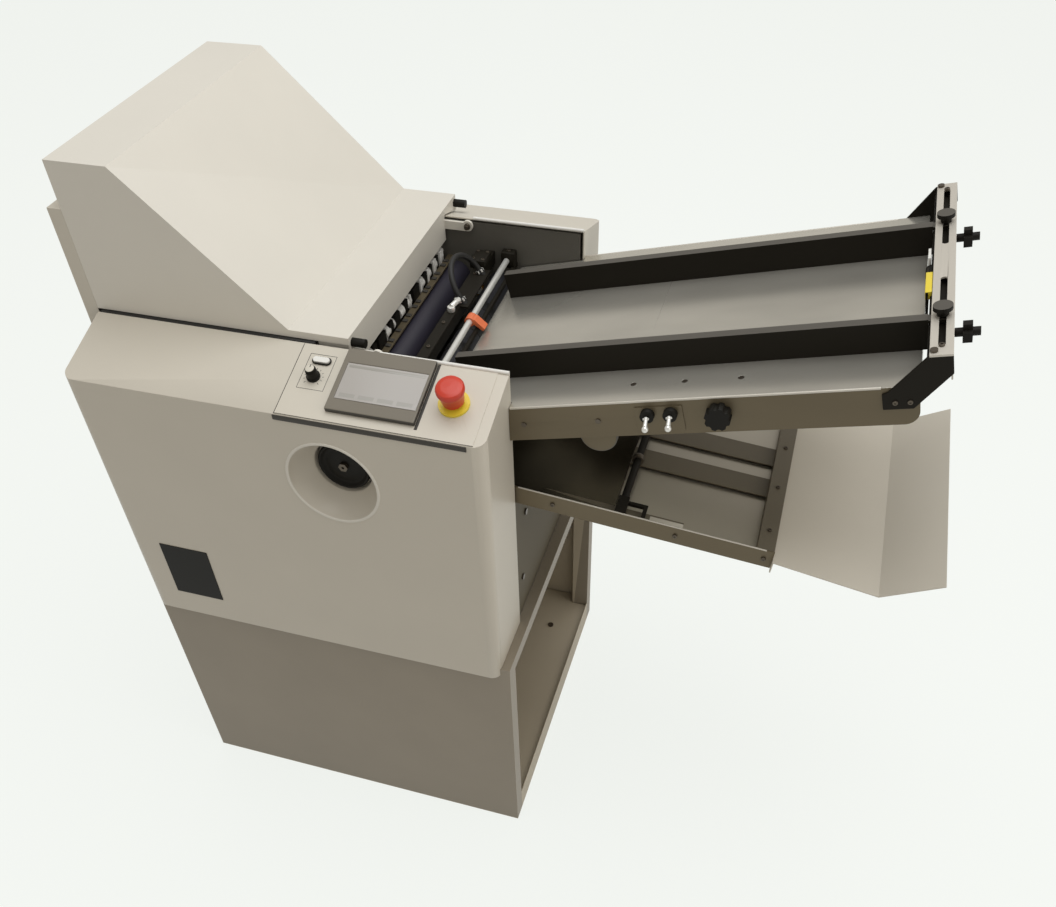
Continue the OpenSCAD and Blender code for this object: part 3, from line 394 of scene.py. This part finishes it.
# The lower plate's top by the covers lies under the table: its near-black is painted shade, with painted
# reflection patches.
paint("lower_plate_frame", "shade_and_reflection_black",
      lambda centre, normal: on_lower_top(centre, normal) and (from_lower @ centre).x < SHADED_SHEET_END)
paint("lower_plate_frame", "bar_steel",
      lambda centre, normal: on_lower_top(centre, normal) and (from_lower @ centre).x > SHADED_SHEET_END)
for name in ("separator_rod", "guide_collars"):
    paint(name, "rail_steel",
          lambda centre, normal: THROAT_STRIP[0] < centre.x < THROAT_STRIP[1] and centre.z < THROAT_STRIP[2])
paint("toggle_plate", "black_plastic", round_toggle)
paint("cabinet_shell", "inner_paint", inside_cabinet)

# %% [markdown]
# The CAD solids come in as loose triangles with knife-sharp edges. Real sheet metal and moulded plastic
# catch a thin line of light on every edge. A Weld modifier joins the triangles and a small Bevel rounds
# what is sharp. The widths are in millimetres.

# %% Soft edges on the solids
WELD_REACH = 0.00001      # in metres
SHARP_ANGLE = 34          # in degrees; the facets of round faces meet at less
RIM_STEPS = 2             # segments of a rounded edge
EDGE_WIDTH = {"handwheel": 1.0, "estop_button": 0.8, "speed_knob": 0.6, "screen_bezel": 1.6,
              "hood_bumpers": 1.2, "table_brackets": 0.8, "bridge": 0.5, "guide_near": 0.8,
              "guide_far": 0.8, "hood": 0.6, "front_cover": 0.7, "rear_cover": 0.7, "left_end_cover": 0.8,
              "cabinet_shell": 0.5, "cabinet_base": 0.5, "table_knob": 1.5, "thumb_knob_near": 1.6,
              "thumb_knob_far": 1.6, "star_knob_near": 1.8, "star_knob_far": 1.8, "feed_table": 0.5,
              "lower_plate_frame": 0.5, "end_tray": 0.5, "start_key": 0.8, "estop_collar": 0.8,
              "name_plate": 0.3, "panel_plate": 0.3, "feed_beam": 0.8, "front_frame": 0.6,
              "rear_frame": 0.6, "handwheel_cup": 0.6, "handwheel_bolt": 0.5, "end_stop": 0.5,
              "toggle_plate": 0.5, "separator_clip": 0.8, "lower_plate_stop": 0.6}
for name, width in EDGE_WIDTH.items():
    solid = nodes[name]
    weld = solid.modifiers.new("weld", "WELD")
    weld.merge_threshold = WELD_REACH
    edge = solid.modifiers.new("edge", "BEVEL")
    edge.width = width * MM
    edge.segments = RIM_STEPS
    edge.limit_method = "ANGLE"
    edge.angle_limit = math.radians(SHARP_ANGLE)
print("edges softened:", len(EDGE_WIDTH))

# %% [markdown]
# New pieces are modelled in the millimetres of the part that carries them, and moved into the machine's
# frame at the end. These helpers open a mesh for editing, pick faces by place or direction, close it, and
# start or join shapes. The last five make what comes back: rounded blocks, rounded discs, strips, and two
# kinds of screw.

# %% Helpers for modelling
BASE = "base"
SIDES = (("near", -1), ("far", 1))                # the operator's side of the middle plane, and the other one


def only(piece):
    """Selects one piece and nothing else."""
    bpy.ops.object.select_all(action="DESELECT")
    piece.select_set(True)
    bpy.context.view_layer.objects.active = piece


def edit(piece):
    """Opens one piece for editing, with none of its faces selected."""
    only(piece)
    bpy.ops.object.mode_set(mode="EDIT")
    bpy.ops.mesh.select_mode(type="FACE")
    bpy.ops.mesh.select_all(action="DESELECT")


def pick(piece, test):
    """Selects the faces whose centre, in millimetres, and normal pass the test."""
    mesh = bmesh.from_edit_mesh(piece.data)
    for face in mesh.faces:
        face.select_set(test(face.calc_center_median() / MM, face.normal))
    bmesh.update_edit_mesh(piece.data)


def apply(piece, kind, **settings):
    """Adds one modifier with its settings and applies it."""
    if bpy.context.mode == "EDIT_MESH":
        bpy.ops.object.mode_set(mode="OBJECT")
    step = piece.modifiers.new(kind.lower(), kind)
    for key, value in settings.items():
        setattr(step, key, value)
    only(piece)
    bpy.ops.object.modifier_apply(modifier=step.name)


def close(piece, name, place, finish, body=BASE, smooth=35):
    """Ends the editing, sets the piece in its place with its origin at the frame's, and finishes it."""
    if bpy.context.mode == "EDIT_MESH":
        bpy.ops.object.mode_set(mode="OBJECT")
    piece.name = name
    piece.data.transform(place @ piece.matrix_basis)
    piece.matrix_basis = Matrix.Identity(4)
    only(piece)
    bpy.ops.object.shade_smooth_by_angle(angle=math.radians(smooth))
    piece.data.materials.clear()
    piece.data.materials.append(FINISH[finish])
    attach(piece, body)
    return piece


def start_block(low, high):
    """A cube between two corners, in millimetres."""
    low, high = Vector(low), Vector(high)
    bpy.ops.object.select_all(action="DESELECT")
    bpy.ops.mesh.primitive_cube_add(size=1, location=(low + high) / 2 * MM)
    piece = bpy.context.object
    piece.scale = (high - low) * MM
    bpy.ops.object.transform_apply(location=True, scale=True)
    return piece


def start_disc(radius, height, place=(0, 0, 0), sides=40, ends="NGON"):
    """A cylinder that stands on a place, its axis along Z, in millimetres."""
    bpy.ops.object.select_all(action="DESELECT")
    centre = Vector(place) + Vector((0, 0, height / 2))
    bpy.ops.mesh.primitive_cylinder_add(vertices=sides, radius=radius * MM, depth=height * MM,
                                        location=centre * MM, end_fill_type=ends)
    piece = bpy.context.object
    bpy.ops.object.transform_apply(location=True)
    return piece


def start_ring(radius, thick, sides=64, around=14):
    """A torus in the XY plane, in millimetres."""
    bpy.ops.object.select_all(action="DESELECT")
    bpy.ops.mesh.primitive_torus_add(major_radius=radius * MM, minor_radius=thick * MM,
                                     major_segments=sides, minor_segments=around)
    return bpy.context.object


def join(pieces):
    """Makes one piece of several, named after the first."""
    bpy.ops.object.select_all(action="DESELECT")
    for piece in pieces:
        piece.select_set(True)
    bpy.context.view_layer.objects.active = pieces[0]
    bpy.ops.object.join()
    return pieces[0]


def moved(piece, place):
    """Moves a mesh inside the part's own frame."""
    piece.data.transform(place)
    return piece


def rounded_block(low, high, width, steps=RIM_STEPS):
    """A block with all its edges rounded, in millimetres."""
    piece = start_block(low, high)
    edit(piece)
    bpy.ops.mesh.select_all(action="SELECT")
    bpy.ops.mesh.bevel(offset=width * MM, segments=steps, affect="EDGES")
    bpy.ops.object.mode_set(mode="OBJECT")
    return piece


def rounded_disc(radius, height, width, place=(0, 0, 0), sides=40):
    """A cylinder with both rims rounded, in millimetres."""
    piece = start_disc(radius, height, place, sides)
    edit(piece)
    pick(piece, lambda centre, normal: abs(normal.z) > FACING)
    bpy.ops.mesh.bevel(offset=width * MM, segments=RIM_STEPS, affect="EDGES")
    bpy.ops.object.mode_set(mode="OBJECT")
    return piece


def strip(name, place, low, high, finish, body=BASE, rounding=0.3):
    """A thin plate, line or plain label, its edges rounded."""
    return close(rounded_block(low, high, rounding), name, place, finish, body)


def socket_screw(radius, height, place=(0, 0, 0)):
    """A cap screw: a disc with a rounded rim and a socket sunk into its top."""
    rim, wall, socket_depth = radius * 0.14, radius * 0.4, height * 0.55
    piece = start_disc(radius, height, sides=36)
    edit(piece)
    pick(piece, lambda centre, normal: normal.z > FACING)
    bpy.ops.mesh.bevel(offset=rim * MM, segments=RIM_STEPS, affect="EDGES")
    pick(piece, lambda centre, normal: normal.z > FACING and centre.xy.length < radius * 0.5)
    bpy.ops.mesh.inset(thickness=wall * MM, depth=0)
    bpy.ops.mesh.extrude_region_move(TRANSFORM_OT_translate={"value": (0, 0, -socket_depth * MM)})
    bpy.ops.object.mode_set(mode="OBJECT")
    return moved(piece, spot(*place))


def cross_screw(radius, height, place=(0, 0, 0)):
    """A pan head screw: a low dome with a cross cut into it."""
    dome, arm, arm_half = height * 0.6, radius * 0.6, radius * 0.11
    cross_bottom = height * 0.5
    piece = start_disc(radius, height, sides=32)
    edit(piece)
    pick(piece, lambda centre, normal: normal.z > FACING)
    bpy.ops.mesh.bevel(offset=dome * MM, segments=4, affect="EDGES")
    bpy.ops.object.mode_set(mode="OBJECT")
    for turn in (20, 110):
        cutter = start_block((-arm, -arm_half, cross_bottom), (arm, arm_half, height * 2))
        moved(cutter, Matrix.Rotation(math.radians(turn), 4, "Z"))
        apply(piece, "BOOLEAN", object=cutter, operation="DIFFERENCE")
        bpy.data.objects.remove(cutter)
    return moved(piece, spot(*place))


# %% [markdown]
# The control plate lies in a seam of its own. A black edge runs along its front, and the speed knob stands
# in a field with a thin outline. The field's marks are short dashes, turned about the knob's axis. The
# knob's pale cap and its pointer turn with it.

# %% Control panel trim
LINE_BOTTOM, LINE_TOP = 0.95, 1.15                # how far printed lines stand over the panel's slope
LINE_ROUNDING = 0.08
knob = (380.5, 70)
cap_bottom, pointer_bottom, pointer_top = 20.2, 20.9, 21.3
mark_count = 11
first_turn, next_turn = 135, 27                   # in degrees
mark_start, mark_end, long_mark_end = 12.6, 14.8, 15.8
field_left, field_right, field_low, field_high = 361.5, 402.5, 48.5, 109.5
line = 0.7

add_finish("mark_black", (40, 38, 36), 0.5, uneven=0.0, skin=0.0)
# Dark for the panel's seams, and for painted shade beside the screen.
add_finish("seam_and_shade", (58, 54, 48), 0.6, uneven=0.0, skin=0.0)
strip("panel_front_edge", MACHINE, (343, -half_width - 1.4, 941.8), (628, -half_width + 0.4, 949.6), "seam_and_shade")
strip("panel_seam_left", PANEL, (344.6, 3, -0.1), (345.6, 125, 0.25), "seam_and_shade", rounding=0.1)
strip("panel_seam_front", PANEL, (345, 1.2, 0.1), (637, 2.1, 1.12), "seam_and_shade", rounding=0.1)
# A dark strip beside the screen's housing: painted shade cast by the raised bezel.
strip("screen_side_shade", PANEL, (550, 12, 0.9), (554.5, 123, 1.25), "seam_and_shade", rounding=0.1)
outline = (((field_left, field_low), (field_right, field_low + line)),
           ((field_left, field_high - line), (field_right, field_high)),
           ((field_left, field_low), (field_left + line, field_high)),
           ((field_right - line, field_low), (field_right, field_high)))
for index, (low, high) in enumerate(outline):
    strip(f"speed_field_line_{index}", PANEL, (*low, LINE_BOTTOM), (*high, LINE_TOP), "mark_black",
          rounding=LINE_ROUNDING)
marks = []
for step in range(mark_count):
    end = mark_end if step % 5 else long_mark_end
    mark = rounded_block((-0.4, mark_start, LINE_BOTTOM), (0.4, end, LINE_TOP), LINE_ROUNDING, 1)
    turn = Matrix.Rotation(math.radians(first_turn - next_turn * step), 4, "Z")
    marks.append(moved(mark, spot(*knob, 0) @ turn))
close(join(marks), "speed_marks", PANEL, "mark_black")
close(rounded_disc(6.4, 0.9, 0.4, (*knob, cap_bottom)), "speed_knob_cap", PANEL, "label_film", "speed_dial")
strip("speed_knob_pointer", PANEL, (knob[0] - 0.6, knob[1] + 1.5, pointer_bottom),
      (knob[0] + 0.6, knob[1] + 6.2, pointer_top), "mark_black", "speed_dial", 0.15)

# %% [markdown]
# A black ring frames the pill-shaped key. It starts as the open wall of a cylinder. Its two halves move
# apart to make the pill, and a Solidify modifier gives the wall its thickness.

# %% Ring round the key
RING_RADIUS, RING_HEIGHT, RING_WALL = 6.6, 1.6, 1.5
RING_APART = 8                                    # how far each half moves from the middle
BESIDE_MIDDLE = 0.0001                            # in metres; points on the middle plane stay
ring = start_disc(RING_RADIUS, RING_HEIGHT, sides=48, ends="NOTHING")
edit(ring)
for side in (-1, 1):
    mesh = bmesh.from_edit_mesh(ring.data)
    bpy.ops.mesh.select_mode(type="VERT")
    for point in mesh.verts:
        point.select_set(point.co.x * side > BESIDE_MIDDLE)
    mesh.select_flush_mode()
    bmesh.update_edit_mesh(ring.data)
    bpy.ops.transform.translate(value=(RING_APART * MM * side, 0, 0))
apply(ring, "SOLIDIFY", thickness=RING_WALL * MM, offset=-1)
apply(ring, "BEVEL", width=0.3 * MM, segments=2, limit_method="ANGLE")
moved(ring, spot(383, 98, 1.9))
close(ring, "key_ring", PANEL, "black_plastic")

# %% [markdown]
# The screen shows a pale picture: a head line and a row of blank keys along its lower edge.

# %% Screen picture
PICTURE_BOTTOM, PICTURE_TOP = 8.45, 8.56          # just over the glass
KEY_STEP = 28.5                                   # from one blank key to the next
add_finish("picture_key", (158, 155, 148), 0.2, uneven=0.0, skin=0.0)
strip("picture_head", PANEL, (429, 90.5, PICTURE_BOTTOM), (543, 95, PICTURE_TOP), "picture_key",
      rounding=0.04)
keys = [start_block((431 + KEY_STEP * step, 40.5, PICTURE_BOTTOM), (454 + KEY_STEP * step, 47, PICTURE_TOP))
        for step in range(4)]
close(join(keys), "picture_keys", PANEL, "picture_key")

# %% [markdown]
# The handwheel's recess ends in a pale rolled rim. A torus gives the roll, and squeezing it along its axis
# flattens it.

# %% Handwheel rim
WHEEL_X, WHEEL_Z = 415, 838.5                     # the handwheel's axis
RIM_FLATNESS = 0.55
rim = start_ring(71.6, 2.4, 120, 16)
edit(rim)
bpy.ops.mesh.select_all(action="SELECT")
bpy.ops.transform.resize(value=(1, 1, RIM_FLATNESS))
close(rim, "handwheel_rim", at(WHEEL_X, -half_width, WHEEL_Z) @ facing((0, -1, 0)), "hood_paint")

# %% [markdown]
# The covers' inner top edges are rolled over beside the throat. Each is a rod that is sunk into the sheet.
# A black strip fills the slit between the hood's skirt and the near cover, as painted shade in the gap.

# %% Rolled edges of the covers, and painted shade in the hood's slit
REAR_PANEL = at(0, half_width, cover_edge) @ Matrix.Rotation(-panel_angle, 4, "X")
ROLL_RADIUS = 2.7
ROLL_START, ROLL_UP = 462, 126.2                  # from here along the covers, and this far up their slope
ROLL_END_GAP = 0.6
for name, place, side in (("front_rolled_edge", PANEL, 1), ("rear_rolled_edge", REAR_PANEL, -1)):
    roll = start_disc(ROLL_RADIUS, cover_end - ROLL_END_GAP - ROLL_START, sides=20)
    moved(roll, spot(ROLL_START, side * ROLL_UP, 1.2) @ facing((1, 0, 0)))
    close(roll, name, place, "white_plastic")
# A black strip in the slit: painted shade in the gap.
strip("hood_slit_shade", MACHINE, (4, -204.0, 981), (360, -196.5, 990.3), "black_rubber", rounding=0.8)

# %% [markdown]
# The long edges of the table and of the lower plate's rails are folded. Each fold gets a bright rod sunk into
# the corner, a painted highlight along the edge.

# %% Painted highlights on the folds
# name, part that carries it, radius, length, and the place of its start
FOLD_HIGHLIGHTS = (("table_fold_highlight", TABLE, 1.7, 484, (2, 215.7, -1.2)),
         ("lower_fold_highlight", LOWER, 1.3, 380, (4, 198.2, -0.4)))
# Each rod is a painted highlight along a fold.
for side, way in SIDES:
    for name, carrier, radius, length, (u, y, v) in FOLD_HIGHLIGHTS:
        fold = start_disc(radius, length, sides=20)
        moved(fold, spot(u, way * y, v) @ facing((1, 0, 0)))
        close(fold, f"{name}_{side}", carrier, "light_steel")

# %% [markdown]
# Cap screws sit on the hood's two pins, on the ends of the bridge and on the table's brackets. A screw is a
# disc whose rim is rounded and whose top has a socket sunk into it.

# %% Screws
PIN_X, PIN_Z = 452.5, 977.5                       # the hood's pivot
BRACKET_SIDE = 219.8                              # from the middle plane to a bracket's outer face
for name, y, way in (("front", -190.8, 1), ("rear", 198.1, -1)):
    place = at(PIN_X, y, PIN_Z) @ facing((0, way, 0))
    close(socket_screw(5.4, 3.2), f"hood_pin_{name}", place, "screw_steel")
for side, way in SIDES:
    close(socket_screw(3.6, 2.4, (552, way * 201, 42.9)), f"bridge_screw_{side}", TABLE, "screw_steel")
    close(socket_screw(2.8, 2.0, (546, way * 201, 32.9)), f"bracket_screw_{side}", TABLE, "screw_steel")
for index, u in enumerate((502, 519)):
    for side, way in SIDES:
        place = TABLE @ spot(u, way * BRACKET_SIDE, -20) @ facing((0, way, 0))
        close(socket_screw(3.2, 1.8), f"bracket_side_screw_{side}_{index}", place, "screw_steel")

# %% [markdown]
# A black coil spring on a pin and a pale pointer stand behind the bridge's front edge, and a yellow pad
# lies on the stop. The coil is a stack of rings that lean a little. A black angle backs the bridge, so the
# floor doesn't show under it.

# %% Fittings under the bridge
SPRING_U, SPRING_V = 535.5, 29                    # the spring's axis on the table
COIL_STEP = 2.7
BACKING_HALF = 214
coil = []
for step in range(9):
    ring = start_ring(5.2, 1.1, 28, 8)
    coil.append(moved(ring, spot(SPRING_U, -17 + step * COIL_STEP, SPRING_V) @ facing((0, 1, 0.12))))
close(join(coil), "bridge_spring", TABLE, "black_plastic")
pin = moved(start_disc(2.6, 34, sides=18), spot(SPRING_U, -22, SPRING_V) @ facing((0, 1, 0)))
close(pin, "bridge_spring_pin", TABLE, "screw_steel")
backing = [rounded_block((536.3, -BACKING_HALF, -14), (538.6, BACKING_HALF, 35), 0.4),
           rounded_block((536.4, -BACKING_HALF, 33.3), (542, BACKING_HALF, 35), 0.4)]
close(join(backing), "bridge_backing", TABLE, "black_metal")
strip("bridge_pointer", TABLE, (532, 14, 22), (535.5, 40, 39.8), "white_plastic", rounding=0.6)
strip("stop_pad", TABLE, (530.4, -74, 30), (538.6, -24, 40.8), "yellow_plastic", rounding=0.8)

# %% [markdown]
# A flat steel disc covers the round end of the side frame's arm, which carries the table from below.

# %% Disc on the table's arm
ARM_OUT, ARM_DOWN = 118.5, -56                    # the middle of the arm's round end, on the table
ARM_FACE = frame_inner + 7.6
arm_side = TABLE @ spot(ARM_OUT, -ARM_FACE, ARM_DOWN) @ facing((0, -1, 0))
close(rounded_disc(25, 1.2, 0.4, sides=64), "arm_disc", arm_side, "rail_steel")

# %% [markdown]
# Inside the throat a shaft of collars, black blocks and pale clips lies under the hood's lip, in no even
# order. Small ribs stand on the strip beside it.

# %% Blocks on the throat's shaft
SHAFT_X, SHAFT_Z = 398, 925
STRIP_FROM, STRIP_TO = 411.5, 420
# each block: its middle across the machine, half its width, and its reach from the shaft's axis
dark_blocks = [(-188, 11, 11.6), (-152, 15, 12), (-112, 7, 10), (-88, 14, 12.4), (-47, 8, 10), (-24, 9, 12),
               (16, 8, 10), (58, 13, 12.2), (104, 7, 11), (133, 4, 10), (163, 6, 9)]
light_blocks = [(-171, 3, 9), (-127, 4, 10), (-66, 2, 10), (33, 3, 11), (80, 4, 12), (92, 3, 9), (113, 4, 12),
                (123, 3, 9), (143, 5, 12), (153, 3, 10), (174, 4, 12), (186, 5, 10)]
for name, blocks, finish in (("shaft_blocks", dark_blocks, "black_plastic"),
                             ("shaft_clips", light_blocks, "white_plastic")):
    made = [rounded_block((SHAFT_X - reach, y - half, SHAFT_Z - reach),
                          (SHAFT_X + reach, y + half, SHAFT_Z + reach + 2), 1.2)
            for y, half, reach in blocks]
    close(join(made), name, MACHINE, finish)
rib_places = (-190, -172, -161, -133, -118, -84, -70, -41, -12, 4, 31, 47, 79, 92, 121, 138, 166, 181)
ribs = [rounded_block((STRIP_FROM, y - 3.5, 918.2), (STRIP_TO, y + 3.5, 920.8), 0.5, 1) for y in rib_places]
close(join(ribs), "strip_ribs", MACHINE, "dark_plastic")

# %% [markdown]
# The suction feed has a valve block, a flat wing and screws on its black beam. Silver nuts sit on the
# hose's legs, and a short elbow leaves the beam in the middle. Two black clamps hold the chrome rod's
# ends.

# %% Suction fittings
HOSE_LEAN = -32                                   # in degrees
HOSE = at(498, 82, 936) @ Matrix.Rotation(math.radians(HOSE_LEAN), 4, "Y")
ELBOW_X, ELBOW_Y = 489, 6
elbow_turn = facing((0.3, 1, 0.1))
for index, y in enumerate((-46, 46)):
    nut = rounded_disc(7.2, 5.5, 0.8, (0, y, 1.5), 6)
    close(nut, f"hose_nut_{index}", HOSE, "bright_steel")
elbow = rounded_disc(6.2, 9, 1.2, (ELBOW_X, ELBOW_Y, 936), 24)
bend = moved(rounded_disc(4.4, 22, 1.0, sides=24), spot(ELBOW_X, ELBOW_Y, 944) @ elbow_turn)
close(join([elbow, bend]), "beam_elbow", MACHINE, "bright_steel")
nut = moved(rounded_disc(5.4, 5, 0.8, sides=6), spot(493, 20, 945.6) @ elbow_turn)
close(nut, "elbow_nut", MACHINE, "bright_steel")
close(rounded_block((474, 140, 935.8), (500, 178, 950), 1.4), "valve_block", MACHINE, "black_metal")
for index, (x, y) in enumerate(((479, 146), (495, 146), (479, 172), (495, 172))):
    close(socket_screw(3, 2, (x, y, 949.8)), f"valve_screw_{index}", MACHINE, "screw_steel")
for side, low, high in (("near", -203.5, -186), ("far", 186, 203.5)):
    clamp = rounded_block((513, low, 917), (537, high, 944), 2.2)
    close(clamp, f"rod_clamp_{side}", MACHINE, "black_metal")
    screw = socket_screw(3.4, 2.4, (525, (low + high) / 2, 943.8))
    close(screw, f"rod_clamp_screw_{side}", MACHINE, "screw_steel")
wing = rounded_block((462, -176, 936.2), (486, -128, 938.6), 0.8)
close(wing, "beam_wing", MACHINE, "dark_plastic")
beam_screws = [socket_screw(3.0, 2.2, (488, y, 935.8)) for y in (-160, -96, -28, 124)]
close(join(beam_screws), "beam_screws", MACHINE, "screw_steel")

# %% [markdown]
# Rubber tyres give the feed roller its grip. Each is a disc with well-rounded rims.

# %% Feed roller tyres
FEED_X, FEED_Z = 507.5, 879.1                     # the feed roller's axis
TYRE_RADIUS, TYRE_WIDTH = 23.2, 22
for index, y in enumerate((-90, -30, 30, 90)):
    tyre = rounded_disc(TYRE_RADIUS, TYRE_WIDTH, 1.6, sides=64)
    place = at(FEED_X, y - TYRE_WIDTH / 2, FEED_Z) @ facing((0, 1, 0))
    close(tyre, f"feed_tyre_{index}", place, "black_rubber", "paper_feed_roller")

# %% [markdown]
# The lower plate's long strip carries a bare pale label near the machine. The stop's shaft has two collars
# that ride with the stop. Screws hold the cross member and the rails.

# %% Lower plate details
COLLAR_WIDTH = 9
CROSS_MEMBER = 383                                # its place along the lower plate
RAIL_SIDE = 200.6                                 # from the middle plane to a rail's outer face
strip("lower_strip_label", LOWER, (207, -197, -12.1), (258, -176, -11.7), "label_film", rounding=0.15)
for index, y in enumerate((-60, 60)):
    collar = rounded_disc(9.5, COLLAR_WIDTH, 0.9, sides=36)
    place = LOWER @ spot(162, y - COLLAR_WIDTH / 2, -7) @ facing((0, 1, 0))
    close(collar, f"stop_collar_{index}", place, "screw_steel", "lower_gauge")
for index, y in enumerate((-150, -50, 50, 150)):
    screw = socket_screw(3.4, 2.2, (CROSS_MEMBER, y, -4.1))
    close(screw, f"cross_member_screw_{index}", LOWER, "screw_steel")
for side, way in SIDES:
    for index, s in enumerate((60, 250, CROSS_MEMBER)):
        place = LOWER @ spot(s, way * RAIL_SIDE, -16) @ facing((0, way, 0))
        close(cross_screw(3.6, 1.8), f"lower_rail_screw_{side}_{index}", place, "screw_steel")

# %% [markdown]
# The end and the back have a black lip round the delivery slot, screws at the corners of the end cover and
# the rear cover, and three pins in the inlet.

# %% End and back
end_face, slot_height, slot_reach, slot_half = -26.8, 774.9, 170, 22
lip_low, lip_high = end_face - 1.4, end_face + 0.2
LIP_HALF = 2.5                                    # half a lip's width
INLET_X, INLET_Z = 120, 520
lip = [rounded_block((lip_low, -slot_reach - 5, slot_height + way * (slot_half + LIP_HALF) - LIP_HALF),
                     (lip_high, slot_reach + 5, slot_height + way * (slot_half + LIP_HALF) + LIP_HALF), 0.5)
       for way in (-1, 1)]
lip += [rounded_block((lip_low, way * (slot_reach + LIP_HALF) - LIP_HALF, slot_height - slot_half),
                      (lip_high, way * (slot_reach + LIP_HALF) + LIP_HALF, slot_height + slot_half), 0.5)
        for way in (-1, 1)]
close(join(lip), "slot_lip", MACHINE, "black_plastic")
for index, (y, z) in enumerate(((-184, 585), (184, 585), (-184, 1122), (184, 1122))):
    place = at(end_face, y, z) @ facing((-1, 0, 0))
    close(cross_screw(4, 2.2), f"end_cover_screw_{index}", place, "screw_steel")
for index, (x, z) in enumerate(((40, 485), (612, 485), (40, 925), (612, 925))):
    place = at(x, half_width, z) @ facing((0, 1, 0))
    close(cross_screw(4, 2.2), f"rear_cover_screw_{index}", place, "screw_steel")
pins = [rounded_block((INLET_X + x - 1, half_width - 16, INLET_Z + z - 2),
                      (INLET_X + x + 1, half_width - 4, INLET_Z + z + 2), 0.3)
        for x, z in ((-7, -2), (0, 2), (7, -2))]
close(join(pins), "inlet_pins", MACHINE, "plate_steel")
